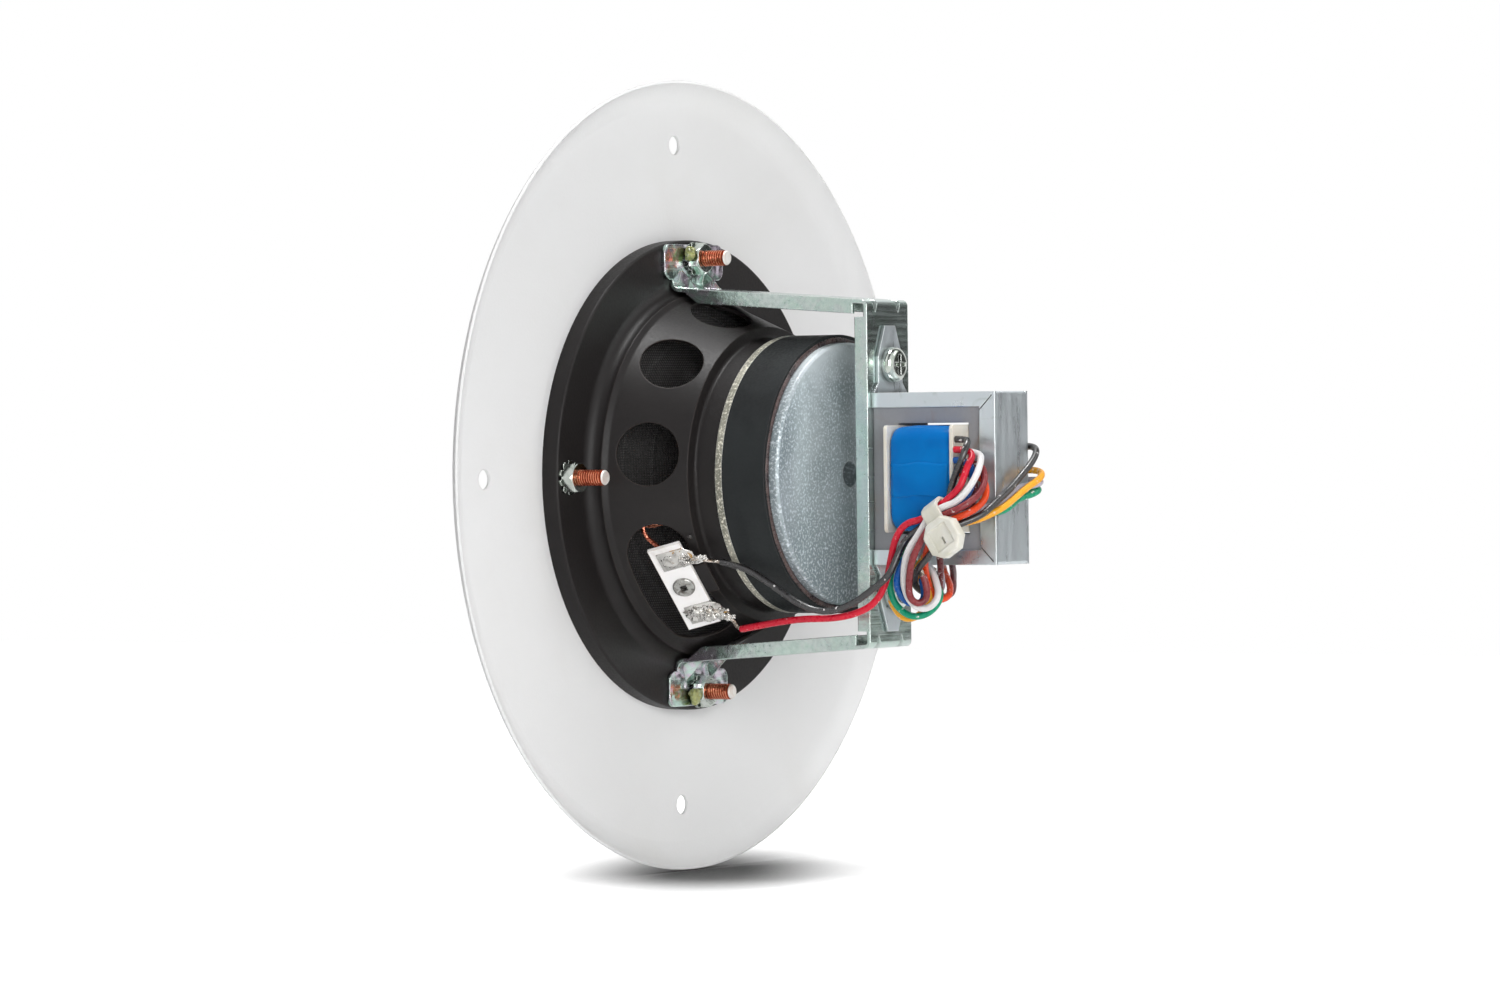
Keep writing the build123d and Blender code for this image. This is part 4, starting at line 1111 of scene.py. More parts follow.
LEADS: tuple[LeadSpec, ...] = (
    LeadSpec("speaker_lead_red", LeadColour.RED, "red_pvc", 95.2, (
        (-5.9, -13.2, 91.85), (-5.9, -13.2, 95.8), (-4.2, -13.9, 97.6), (-2.6, -15.7, 97.4),
        (0.5, -17.3, 97.1), (3.6, -18.6, 96.5), (7.4, -18.6, 91.4), (9.7, -18.6, 87.8),
        (11.2, -18.6, 85.3), (12, -18.3, 80.6), (15.5, -17.8, 77.3), (20.3, -17.8, 76),
        (26.5, -18.2, 74.9), (31.3, -19.2, 72.5), (33.9, -21, 68.9), (35.4, -22.4, 62.4),
        (35.5, -22.9, 52.3), (36.9, -22.4, 42.1), (38.2, -20.9, 33.6),
    ), "object"),
    LeadSpec("speaker_lead_black", LeadColour.BLACK, "black_pvc", 96.5, (
        (-8.4, -12.6, 91.85), (-8.4, -12.6, 95.2), (-7.3, -14.5, 96.3), (-4.4, -16.2, 96.1),
        (-1, -16.3, 94.5), (2.4, -16.2, 92.9), (8.2, -17, 91.9), (10.5, -17, 88.4),
        (13.5, -17.1, 83.5), (16.2, -17.6, 79.9), (19.9, -19.9, 79.2), (24.8, -21.3, 77.7),
        (27.9, -21.9, 73.5), (31.4, -22.6, 68.5), (34.1, -23.6, 61.4), (32.3, -25.2, 54.2),
        (26.8, -27, 46.6), (22.6, -28.8, 40.1), (21.3, -29.2, 33.3),
    ), "object"),
    LeadSpec("tap_lead_white", LeadColour.WHITE, "white_pvc", 76, (
        (-5.4, -10.8, 91.85), (-5.4, -10.8, 98), (-2.1, -14.4, 100), (2.3, -17.3, 99.5),
        (6.8, -19.4, 96.6), (8.2, -20.2, 91.9), (10.5, -20.2, 88.4), (14.2, -20.8, 86.4),
        (18.6, -20.9, 82.7), (23.9, -20.3, 81), (29.2, -19.2, 80.8), (32.8, -17.6, 82.7),
        (33.1, -15.7, 85.6), (30, -14.1, 87.6), (25.4, -12.2, 85.2), (22.4, -10.2, 82.2),
        (20.4, -10, 79.3),
    )),
    LeadSpec("tap_lead_brown", LeadColour.BROWN, "brown_pvc", 61, (
        (-2.7, -10.9, 91.85), (-2.7, -10.9, 97.9), (1.2, -12.4, 100.3), (5.2, -16.2, 100.7),
        (8.5, -20.4, 97.6), (9.8, -20.2, 92.9), (12.1, -20.2, 89.4), (15.9, -22.5, 87.8),
        (21.2, -22.3, 84.7), (26.3, -21.4, 83.3), (30.2, -20.7, 83), (31.9, -19, 84.3),
        (30.7, -17.4, 86), (27.4, -17.7, 86.2), (24.8, -18.1, 85.4),
    )),
    LeadSpec("tap_lead_blue", LeadColour.BLUE, "blue_pvc", 59, (
        (-3.3, -13.3, 91.85), (-3.3, -13.3, 97.1), (3.7, -15.1, 98.2), (7.7, -17.5, 95.1),
        (9, -18.6, 92.4), (11.3, -18.6, 88.9), (14.8, -18.9, 85.8), (18.3, -19, 82.6),
        (22.5, -18.8, 79.2), (27.2, -18.6, 77.7), (30.9, -17.4, 79.2), (32.2, -16.1, 81.8),
        (30.9, -15.3, 83.9), (28, -15.9, 84.2), (25.5, -16.4, 83.9),
    )),
    LeadSpec("tap_lead_orange", LeadColour.ORANGE, "orange_pvc", 80.7, (
        (0, -10.9, 91.85), (0, -10.9, 98.4), (5.8, -11.3, 100.2), (9.4, -18.7, 100), (11.4, -20.2, 94),
        (13.7, -20.2, 90.4), (20.3, -19, 86.2), (26, -12.7, 83.1), (30.3, -10.6, 83.6),
        (31.2, -8.5, 84.3), (30.2, -6, 85.3), (28.5, -3.5, 84.1), (26.9, -1.3, 82.4),
        (24.5, 3.1, 78.2), (24, 6.5, 76), (23.1, 9.7, 73.7), (20.5, 11.5, 71.5),
    )),
    LeadSpec("tap_lead_green", LeadColour.GREEN, "green_pvc", 100, (
        (4.6, 10.2, 91.85), (4.6, 10.2, 96.8), (3.9, 9.7, 101.4), (4.4, 7.5, 103.3), (5.3, 5.1, 103),
        (5.9, 2.1, 102.2), (6.7, -0.9, 101.9), (8, -4, 102.2), (9.3, -7.2, 102), (9.9, -10.4, 98.8),
        (8.2, -12.2, 95.5), (9.8, -17, 92.9), (12.1, -17, 89.4), (15.1, -16.4, 84.1),
        (17.9, -15.9, 79.3), (21.7, -16.1, 75.7), (26.8, -16.2, 74.1), (32.2, -15.6, 75.4),
        (35.4, -14.4, 79.6), (34.3, -12.9, 84.1), (30.3, -11.1, 86.5), (26.5, -9.9, 83.7),
        (24.1, -13, 81.4), (21.3, -15.4, 80.9),
    )),
    LeadSpec("tap_lead_yellow", LeadColour.YELLOW, "yellow_pvc", 86, (
        (-0.6, 10.2, 91.85), (-0.6, 10.2, 96.9), (-0.5, 9.7, 101.6), (0.4, 7.7, 104.3),
        (1.8, 4.8, 104.9), (3.8, 0.4, 103.9), (6.3, -4.1, 103.2), (8.4, -8.7, 102.9),
        (10.5, -11.9, 100), (11.7, -14.7, 97.7), (12.2, -18.6, 94.5), (14.5, -18.6, 90.9),
        (19.5, -16.5, 85.5), (23.9, -15.7, 81.3), (27.3, -14.4, 83.4), (30.1, -12.7, 84),
        (33.7, -11.2, 81.7), (36.2, -11.4, 76.9), (34.1, -12.6, 73.9), (31, -14, 73.4),
    )),
    LeadSpec("tap_lead_black", LeadColour.BLACK, "black_pvc", 81, (
        (-6.3, 9.6, 91.85), (-6.3, 9.6, 96.4), (-6.5, 9.4, 100.4), (-5.3, 7.6, 102.9),
        (-2.4, 3.9, 103.5), (1, -0.5, 102.8), (4.4, -5.4, 102.4), (7.5, -11.2, 101.8),
        (10.4, -15.3, 100.5), (13, -20.2, 95), (15.3, -20.2, 91.4), (19.4, -20.7, 89.7),
        (23.2, -19.6, 84.6), (26.9, -16.8, 81.5), (29.6, -11.1, 81.4), (27.2, -7.9, 82.4),
        (24.5, -6, 81.2),
    )),
    LeadSpec("tap_lead_grey", LeadColour.GREY, "grey_pvc", 80, (
        (2, 10.2, 91.85), (2, 10.2, 97.2), (1.9, 9.6, 102.2), (2.5, 7.4, 103.9), (3.1, 5.1, 103.4),
        (3.5, 0.9, 101.9), (5.6, -3.4, 101.4), (7.7, -8.3, 101.2), (8.6, -12.7, 98.8),
        (9.6, -17.3, 98.1), (10.6, -18.6, 93.4), (12.9, -18.6, 89.9), (16.5, -16.9, 86.1),
        (20.8, -13.3, 81.5), (26.4, -8.7, 79.8), (29.3, -6.1, 80.5), (28.9, -4, 81.7),
        (26.3, -2.7, 81.3), (24.4, -0.9, 79.6),
    )),
    LeadSpec("tap_lead_maroon", LeadColour.MAROON, "maroon_pvc", 66.6, (
        (-1, -12.9, 91.85), (-1, -12.9, 95.9), (3.3, -12.3, 97.3), (7.5, -14.2, 97.6), (11.4, -17, 94),
        (13.7, -17, 90.4), (18.6, -14.5, 87.7), (22, -11.9, 86.6), (25, -9.4, 85), (27.5, -8.2, 83.9),
        (29.9, -6.6, 83.1), (30.7, -4.4, 82.9), (29.7, -1.9, 83.5), (28.1, 0.5, 82.5), (26.5, 2.8, 81),
        (25.1, 6.3, 78.9), (23.3, 9.5, 76.7), (20.7, 11.5, 74.7),
    )),
)


@dataclass
class Harness:
    """All insulated leads, and the bare ends of the two speaker leads."""

    palette: Palette
    seat: WallSeat
    diameter: float = 1.7
    soldered: dict[str, Route] = field(default_factory=lambda: {
        "speaker_lead_red": ((12.8, 8.2, 3.2), (11.0, 6.2, 2.1), (9.4, 4.0, 1.9)),
        "speaker_lead_black": ((-5.9, 9.4, 1.6), (-7.4, 7.0, 1.9), (-8.6, 4.6, 1.9), (-8.8, 2.5, 1.9))})

    def lay(self, spec: LeadSpec) -> bpy.types.Object:
        """Args:
            spec: The lead.

        Returns:
            Its curve.
        """
        points = place_mm(spec.route)
        lead = nurbs_curve(spec.node + "_sheath", points, self.diameter / 2 * MM)
        lead.data.materials.append(self.palette.sheaths[spec.hue])
        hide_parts(spec.node)
        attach(lead, "root")
        held = [self.bare_end(spec)]
        return lead

    def bare_end(self, spec: LeadSpec) -> bpy.types.Object:
        """Make the stripped strands past a lead's sheath.

        Args:
            spec: The lead.

        Returns:
            The strands.
        """
        tip, before = place_mm(reversed(spec.route[-2:]))
        ahead = (tip - before).normalized() * MM
        lug = self.seat.world(self.soldered.get(spec.node, ()))
        shares = (-1.0, 1.2) if lug else (-1.0, 0.0, 0.7, 1.4)
        path = traced([tip + ahead * share for share in shares] + lug)
        work = bmesh.new()
        Strands(count=5, strand=0.34, offset=0.32, turn_length=5.0).build(work, path)
        return finish_piece(spec.node + "_strands", work, [self.palette.tinned], smooth=60)

    def build(self) -> None:
        """Lay every lead."""
        for spec in LEADS:
            self.lay(spec)
            log.info("%s laid, %.0f mm", spec.node, spec.length)


@dataclass
class Braids:
    """The two flexible copper braids from the strip to the cone."""

    palette: Palette
    seat: WallSeat
    reach: float = 9.0
    edge: float = 13.4
    lift: float = 0.3
    strip_angle: float = 312.2
    join_angle: float = 22.0
    join_radius: float = 21.0

    def route(self, sign: int) -> list[Vector]:
        """Give one braid's control points, the same as the solid's.

        Args:
            sign: -1 for the left braid and 1 for the right one.

        Returns:
            Control points in metres.
        """
        points = self.seat.world([
            (sign * self.reach, -1.8, self.lift),
            (sign * self.reach, -1.8, -2.1),
            (sign * (self.reach + 2.2), -3.0, -3.4),
            (sign * (self.edge + 1.2), -4.6, -3.4),
            (sign * (self.edge + 3.6), -4.8, -5.6),
        ])
        angle = math.radians(self.strip_angle + sign * self.join_angle)
        cone_level = Diaphragm(self.palette).slope(self.join_radius)
        for reach_out, lift in ((15.0, 0.4), (10.0, 2.4), (4.5, 3.9), (1.74, 3.4), (0, 0)):
            radius, level = self.join_radius + reach_out, cone_level + lift
            points.append(Vector((radius * math.cos(angle), radius * math.sin(angle), level)) * MM)
        return points

    def build(self) -> None:
        """Twist both braids and set the eyelet where each meets the cone."""
        for side, sign in (("left", -1), ("right", 1)):
            path = traced(self.route(sign))
            work = bmesh.new()
            Strands(count=3, strand=0.62, offset=0.36, turn_length=2.2).build(work, path)
            made = bmesh.ops.create_icosphere(work, subdivisions=3, radius=1.5 * MM,
                                              matrix=Matrix.Translation(path[-1]) @ Matrix.Diagonal((1, 1, 0.45, 1)))
            for vert in made["verts"]:
                for face in vert.link_faces:
                    face.material_index = 1
            piece = finish_piece("braid_" + side, work, [self.palette.braid, self.palette.daub],
                                 ["braid_lead_" + side], smooth=60)
            log.info("%s twisted", piece.name)


# Fixings


@dataclass
class Stud:
    """One welded stud with a rolled thread."""

    place: tuple[float, float]
    base: float = 0.8
    root_radius: float = 2.6
    root_height: float = 0.6
    crest: float = 2.0
    core: float = 1.68
    pitch: float = 0.7
    tip: float = 16.75
    steps: int = 20

    def build(self, node: str, palette: Palette) -> bpy.types.Object:
        """Cut the thread as a helical spin round a plain core.

        Args:
            node: The solid that it stands for.
            palette: All finishes.

        Returns:
            The stud.
        """
        start = self.base + self.root_height + 0.1
        turns = int((self.tip - 0.5 - start) / self.pitch) - 1
        work = bmesh.new()
        flat = self.pitch * 0.2
        profile = [(self.core, 0), (self.crest, self.pitch / 2 - flat), (self.crest, self.pitch / 2 + flat),
                   (self.core, self.pitch)]
        spin_outline(work, [(radius, start + level) for radius, level in profile], self.steps, turns=turns,
                     rise=self.pitch)
        top = start + (turns + 1) * self.pitch
        outline = [(0, self.base), (self.root_radius, self.base), (self.root_radius, self.base + self.root_height),
                   (self.crest, start + 0.05), (self.core + 0.01, start + 0.3), (self.core + 0.01, top - 0.2),
                   (self.core + 0.18, top - 0.1), (self.core + 0.18, self.tip - 0.35), (self.core - 0.1, self.tip),
                   (0, self.tip)]
        spin_outline(work, outline, self.steps)
        bmesh.ops.translate(work, verts=work.verts, vec=Vector((*self.place, 0)) * MM)
        axis = Vector(self.place) * MM
        for face in work.faces:
            middle = face.calc_center_median()
            if middle.z > (self.tip - 0.2) * MM:
                face.material_index = 1
            # painted shade: faces near the axis, the thread's roots and core, take the darker copper
            elif (middle.xy - axis).length < (self.crest - 0.1) * MM:
                face.material_index = 2
        finishes = [palette.copper, palette.tip, palette.painted_groove_shade]
        return finish_piece(node + "_thread", work, finishes, [node], 50)


@dataclass
class LockDab:
    """One dab of lock paint that has run down over a nut and its washer."""

    place: Point
    radius: float = 1.9

    def build(self, node: str, palette: Palette, seed: float) -> bpy.types.Object:
        """Make the lumpy dab.

        Args:
            node: The solid that it stands for.
            palette: All finishes.
            seed: Shifts its lumps.

        Returns:
            The dab.
        """
        work = bmesh.new()
        bmesh.ops.create_icosphere(work, subdivisions=5, radius=self.radius * MM)
        bmesh.ops.scale(work, vec=(1.0, 1.15, 0.85), verts=work.verts)
        bmesh.ops.translate(work, verts=work.verts, vec=Vector(self.place) * MM)
        roughen(work, 2.2, 0.9, seed)
        roughen(work, 0.8, 0.25, seed + 7)
        return finish_piece(node + "_dab", work, [palette.paint], [node], 180)


@dataclass
class Fixings:
    """Studs, nuts, washers and lock paint on the baffle."""

    palette: Palette
    circle: float = 54.8
    dab: Point = (55.8, -3.5, 8.1)

    def build(self) -> None:
        """Make the studs and dabs and dress the nuts and washers."""
        for side, x, y in (("right", 1, 0), ("far", 0, 1), ("left", -1, 0), ("near", 0, -1)):
            Stud((x * self.circle, y * self.circle)).build("weld_stud_" + side, self.palette)
            self.palette.dress({"hex_nut_" + side: self.palette.steel, "tooth_washer_" + side: self.palette.washer})
        for side, sign, seed in (("left", -1, 1.0), ("right", 1, 4.0)):
            LockDab((sign * self.dab[0], *self.dab[1:])).build("lock_paint_" + side, self.palette, seed)
        log.info("fixings ready")


# Driver


@dataclass
class Diaphragm:
    """Cone, surround, dust cap and spider, each spun with its own relief."""

    palette: Palette
    mouth: float = 43.4
    mouth_level: float = 4.4
    neck: float = 10.25
    neck_level: float = 21.4
    sheet: float = 0.5
    land: float = 2.5
    rings: Point = (20.0, 27.0, 34.0)
    ring_width: float = 0.7
    ring_depth: float = 0.45
    step: float = 0.45

    def slope(self, radius: float) -> float:
        """Level of the cone's back face at a radius, in millimetres."""
        share = (self.mouth - radius) / (self.mouth - self.neck)
        return self.mouth_level + share * (self.neck_level - self.mouth_level)

    def shell(self, name: str, line: Sequence[tuple[float, float]], sheet: float, finish: bpy.types.Material,
              node: str) -> None:
        """Spin a line and its copy one sheet lower into a piece.

        Args:
            name: The piece's plain name.
            line: Radius and level of each point of the upper face, in millimetres.
            sheet: Thickness, in millimetres.
            finish: Its finish.
            node: The solid that it stands for.
        """
        lower = [(radius, level - sheet) for radius, level in reversed(line)]
        finish_piece(name, spun_shell([*line, *lower]), [finish], [node], 50)

    def cone(self) -> None:
        """Spin the paper cone with three pressed rings."""
        edge = self.mouth - self.land
        back = [(self.mouth, self.mouth_level), (edge, self.mouth_level)]
        radius = edge
        while radius > self.neck + 0.3:
            share = (edge - radius) / (edge - self.neck)
            level = self.mouth_level + share * (self.neck_level - self.mouth_level)
            ripple = sum(math.exp(-((radius - ring) / self.ring_width) ** 2) for ring in self.rings)
            back.append((radius, level - self.ring_depth * ripple))
            radius -= self.step
        back.append((self.neck, self.neck_level))
        self.shell("cone_paper", back, self.sheet, self.palette.cone, "cone")

    def surround(self) -> None:
        """Spin the rolled cloth edge."""
        flat = self.mouth_level + self.sheet
        roll, half, depth, points = 3.4, 3.0, 1.8, 16
        upper = [(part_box("surround")[1].x / MM, flat)]
        for index in range(points + 1):
            across = half - 2 * half * index / points
            dip = math.sqrt(roll ** 2 - across ** 2) - (roll - depth)
            upper.append((self.mouth + half + across, flat - dip))
        upper.append((self.mouth - 2.0, flat))
        self.shell("surround_roll", upper, self.sheet, self.palette.cloth, "surround")

    def cap(self) -> None:
        """Spin the dust cap and its turned edge."""
        low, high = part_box("dust_cap")
        edge, rise, points = 15.0, (high.z - low.z) / MM, 20
        rim = high.z / MM
        ball = (edge ** 2 + rise ** 2) / (2 * rise)
        outer = []
        for index in range(points + 1):
            radius = edge * index / points
            outer.append((radius, rim - rise + ball - math.sqrt(ball ** 2 - radius ** 2)))
        inner = [(max(radius - 0.05, 0.0), min(level + self.sheet, rim)) for radius, level in reversed(outer)]
        finish_piece("dust_cap_paper", spun_shell(outer + inner), [self.palette.cone], ["dust_cap"], 50)

    def spider(self) -> None:
        """Spin the waved centring cloth."""
        low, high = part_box("spider")
        wave, waves, flat, cloth, steps = 0.7, 4, 2.4, 0.4, 96
        outside, level = high.x / MM, low.z / MM + wave
        upper = []
        for index in range(steps + 1):
            radius = self.neck + (outside - self.neck) * index / steps
            share = (radius - self.neck - flat) / (outside - self.neck - 2 * flat)
            lift = wave * math.sin(share * waves * FULL_TURN) if 0 < share < 1 else 0.0
            upper.append((radius, level + lift + cloth))
        self.shell("spider_cloth", upper, cloth, self.palette.amber, "spider")

    def build(self) -> None:
        """Make all four."""
        for make in (self.cone, self.surround, self.cap, self.spider):
            make()
        log.info("diaphragm ready")


@dataclass
class Driver:
    """Basket, magnet and the glue at the magnet's back."""

    palette: Palette
    glue_inner: float = 32.7
    glue_outer: float = 34.3
    glue_level: float = 49.95
    glue_height: float = 0.55
    glue_fill: float = 0.72
    glue_swell: float = 0.35
    glue_ripple: float = 0.15
    glue_draw: float = 0.012

    def glue(self) -> None:
        """Spin the uneven bead of glue at the ferrite's back edge."""
        middle = (self.glue_inner + self.glue_outer) / 2
        half = (self.glue_outer - self.glue_inner) / 2
        outline, points = [], 8
        for index in range(points + 1):
            angle = math.pi * index / points
            outline.append((middle + half * math.cos(angle), self.glue_level + self.glue_height * math.sin(angle)))
        work = spun_shell(outline, 220)
        for vert in work.verts:
            spin = math.atan2(vert.co.y, vert.co.x)
            swell = noise.noise(Vector((math.cos(spin) * 4, math.sin(spin) * 4, 0.3)))
            fine = noise.noise(Vector((math.cos(spin) * 17, math.sin(spin) * 17, 2.0)))
            height = vert.co.z - self.glue_level * MM
            share = self.glue_fill + self.glue_swell * swell + self.glue_ripple * fine
            vert.co.z = self.glue_level * MM + height * share
            lean = (vert.co.xy.length / MM - self.glue_inner) / (2 * half)
            reach = 1 - self.glue_draw * max(0.0, 0.45 - swell) * lean
            vert.co.x *= reach
            vert.co.y *= reach
        finish_piece("magnet_glue_bead", work, [self.palette.glue], ["magnet_glue"], 60)

    def build(self) -> None:
        """Dress the solids and lay the glue."""
        self.palette.dress({
            "basket": self.palette.black, "gasket": self.palette.card, "coil_former": self.palette.former,
            "voice_coil": self.palette.enamel, "top_plate": self.palette.front_plate,
            "ferrite_magnet": self.palette.ferrite, "yoke": self.palette.plate, "baffle": self.palette.powder,
        })
        self.glue()
        log.info("driver ready")


@dataclass
class Terminals:
    """The strip on the basket's tongue, with its soldered lugs."""

    palette: Palette
    seat: WallSeat
    pad_level: float = 1.25

    def dome(self, work: bmesh.types.BMesh, place: Point, size: Point, lumps: float, seed: float) -> None:
        """Add one lumpy dome of solder on the strip.

        Args:
            work: The mesh being made.
            place: The dome's middle on the seat, in millimetres.
            size: Its half sizes, in millimetres.
            lumps: Height of its lumps, in millimetres.
            seed: Shifts them.
        """
        made = bmesh.ops.create_icosphere(work, subdivisions=5, radius=1.0)
        for vert in made["verts"]:
            ball = vert.co.copy()
            swell = 1 + lumps * noise.noise(ball * 1.7 + Vector((seed, 0, 0)))
            swell += 0.4 * lumps * noise.noise(ball * 4.5 + Vector((0, seed, 0)))
            vert.co = self.seat.matrix() @ Vector(
                (place[0] + size[0] * ball.x * swell, place[1] + size[1] * ball.y * swell,
                 place[2] + size[2] * max(ball.z, -0.2) * swell))

    def tail(self, work: bmesh.types.BMesh, middle: float) -> None:
        """Add the flat tinned tail of one lug past the strip's edge.

        Args:
            work: The mesh being made.
            middle: The lug's middle along the strip, in millimetres.
        """
        outline = [(-2.8, -2.7), (2.8, -2.7), (2.8, 4.3), (1.1, 6.4), (-1.1, 6.4), (-2.8, 4.3)]
        corners = [work.verts.new(point) for point in self.seat.world(
            [(middle + x, y, self.pad_level + 0.02) for x, y in outline])]
        plate = work.faces.new(corners)
        lifted = bmesh.ops.extrude_face_region(work, geom=[plate])["geom"]
        raised = [item for item in lifted if isinstance(item, bmesh.types.BMVert)]
        bmesh.ops.translate(work, verts=raised, vec=Vector(self.seat.outwards).normalized() * 0.36 * MM)
        rims = [edge for edge in work.edges if all(vert in raised for vert in edge.verts)]
        bmesh.ops.bevel(work, geom=rims, offset=0.15 * MM, offset_type="OFFSET", segments=2, profile=0.5,
                        affect="EDGES", material=-1, clamp_overlap=True)

    def build(self) -> None:
        """Make both lugs and dress the strip and rivet."""
        self.palette.dress({"terminal_strip": self.palette.board, "strip_rivet": self.palette.rivet})
        level = self.pad_level + 0.2
        lugs = (
            ("upper", "left", -9.0, (
                ((-9.0, 0.2, level), (2.3, 2.4, 0.7), 0.25, 2.0),
                ((-8.2, 4.0, level), (1.7, 1.9, 1.3), 0.5, 5.0),
                ((-7.2, 6.8, level), (0.95, 2.3, 0.9), 0.6, 7.0),
            )),
            ("lower", "right", 9.0, (
                ((8.9, -0.4, level), (2.4, 2.2, 1.2), 0.7, 9.0),
                ((9.4, 2.6, level), (2.3, 2.0, 1.8), 0.8, 12.0),
                ((10.6, 5.4, level + 0.3), (1.4, 1.7, 1.1), 0.8, 15.0),
                ((12.2, 7.4, level + 1.2), (0.8, 1.2, 0.7), 0.8, 18.0),
            )),
        )
        for name, side, middle, domes in lugs:
            work = bmesh.new()
            self.tail(work, middle)
            for dome in domes:
                self.dome(work, *dome)
            finish_piece("solder_" + name, work, [self.palette.solder], ["solder_lug_" + side], 60)
        drop = bmesh.new()
        self.dome(drop, (-12.2, 6.4, -1.75), (0.7, 0.7, 0.5), 0.3, 21.0)
        finish_piece("paint_drop", drop, [self.palette.daub], smooth=180)
        log.info("terminals ready")


# Transformer


@dataclass
class Tape:
    """Blue tape round the winding: soft corners, creases and the free end of its last turn."""

    palette: Palette
    corner: float = 3.9
    sheet: float = 0.4
    end_sheet: float = 0.1
    levels: int = 26
    per_corner: int = 10
    per_side: int = 14
    belly: float = 0.95
    crease: float = 0.35
    softness: float = 0.12

    def bulge(self, share: float) -> float:
        """How far the tape swells at a share of its height, in millimetres."""
        return self.belly * math.sin(math.pi * share) ** 0.5

    def outline(self, low: Vector, high: Vector, inset: float) -> list[tuple[float, float]]:
        """Give the rounded rectangle of one level.

        Args:
            low: Lowest corner of the tape, in metres.
            high: Highest corner.
            inset: How far it draws in, in millimetres.

        Returns:
            Points round it, in metres.
        """
        middle = (low + high) / 2
        half_x = (high.x - low.x) / 2 - inset * MM
        half_y = (high.y - low.y) / 2 - inset * MM
        corner = self.corner * MM
        points = []
        for quarter in range(4):
            sign_x, sign_y = ((1, 1), (-1, 1), (-1, -1), (1, -1))[quarter]
            centre = (middle.x + sign_x * (half_x - corner), middle.y + sign_y * (half_y - corner))
            for index in range(self.per_corner + 1):
                angle = math.pi / 2 * (quarter + index / self.per_corner)
                points.append((centre[0] + corner * math.cos(angle), centre[1] + corner * math.sin(angle)))
            after = ((-1, 1), (-1, -1), (1, -1), (1, 1))[quarter]
            start = points[-1]
            turn = math.pi / 2 * (quarter + 1)
            goal = (middle.x + after[0] * (half_x - corner) + corner * math.cos(turn),
                    middle.y + after[1] * (half_y - corner) + corner * math.sin(turn))
            for index in range(1, self.per_side):
                share = index / self.per_side
                points.append((start[0] + (goal[0] - start[0]) * share, start[1] + (goal[1] - start[1]) * share))
        return points

    def build(self) -> None:
        """Loft the tape and lay its free end."""
        low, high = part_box("insulating_tape")
        work = bmesh.new()
        rings = []
        for index in range(self.levels):
            share = index / (self.levels - 1)
            level = low.z + (high.z - low.z) * share
            closing = 0.5 * max(0.0, 1 - min(share, 1 - share) * 14) ** 2
            ring = []
            for x, y in self.outline(low, high, closing - self.bulge(share)):
                place = Vector((x, y, level))
                inward = (Vector(((low.x + high.x) / 2, (low.y + high.y) / 2, level)) - place).normalized()
                crease = abs(noise.noise(Vector((x * 130, y * 130, level * 420))))
                soft = 0.5 + 0.5 * noise.noise(Vector((x * 60, y * 60, level * 60 + 3)))
                place += inward * (self.crease * crease ** 1.5 + self.softness * soft) * MM
                ring.append(work.verts.new(place))
            rings.append(ring)
        loft(work, rings)
        piece = finish_piece("tape_wrap", work, [self.palette.tape], ["insulating_tape"], 60)
        self.thicken(piece, self.sheet, -1.0)
        self.free_end(low, high)

    def free_end(self, low: Vector, high: Vector) -> None:
        """Lay the last turn's loose end over the side that faces the reader.

        Args:
            low: Lowest corner of the tape, in metres.
            high: Highest corner.
        """
        work = bmesh.new()
        bmesh.ops.create_grid(work, x_segments=16, y_segments=24, size=0.5)
        for vert in work.verts:
            across, along = vert.co.x + 0.5, vert.co.y + 0.5
            share = 0.05 + 0.9 * along
            level = low.z + (high.z - low.z) * share
            x = low.x + (high.x - low.x) * (0.34 + 0.34 * across) + 0.25 * MM * math.sin(along * 9)
            lift = 0.12 * noise.noise(Vector((x * 300, 0, level * 300)))
            vert.co = Vector((x, low.y + (lift - self.bulge(share)) * MM, level))
        piece = finish_piece("tape_free_end", work, [self.palette.tape], smooth=60)
        self.thicken(piece, self.end_sheet, 1.0)

    def thicken(self, piece: bpy.types.Object, sheet: float, side: float) -> None:
        """Give an open surface its thickness.

        Args:
            piece: The surface.
            sheet: Thickness, in millimetres.
            side: 1 outwards, -1 inwards.
        """
        thick = piece.modifiers.new("sheet", "SOLIDIFY")
        thick.thickness = sheet * MM
        thick.offset = side


@dataclass
class Winding:
    """Enamelled wire under the tape, as turns that show at its two ends."""

    palette: Palette
    wire: float = 0.5

    def build(self) -> None:
        """Stack the outer turns round the winding's rounded block."""
        low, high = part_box("winding")
        shape = Tape(self.palette, corner=3.5, per_corner=8, per_side=4)
        work = bmesh.new()
        rings = []
        turns = int((high.z - low.z) / (self.wire * MM))
        for turn in range(turns):
            for share, inset in ((0.0, 0.9), (0.25, 0.75), (0.5, 0.7), (0.75, 0.75)):
                level = low.z + (turn + share) * self.wire * MM
                rings.append([work.verts.new((x, y, level)) for x, y in shape.outline(low, high, inset)])
        rings.append([work.verts.new((x, y, high.z)) for x, y in shape.outline(low, high, 1.0)])
        loft(work, rings)
        work.faces.new(reversed(rings[0]))
        work.faces.new(rings[-1])
        finish_piece("winding_turns", work, [self.palette.enamel], ["winding"], 50)


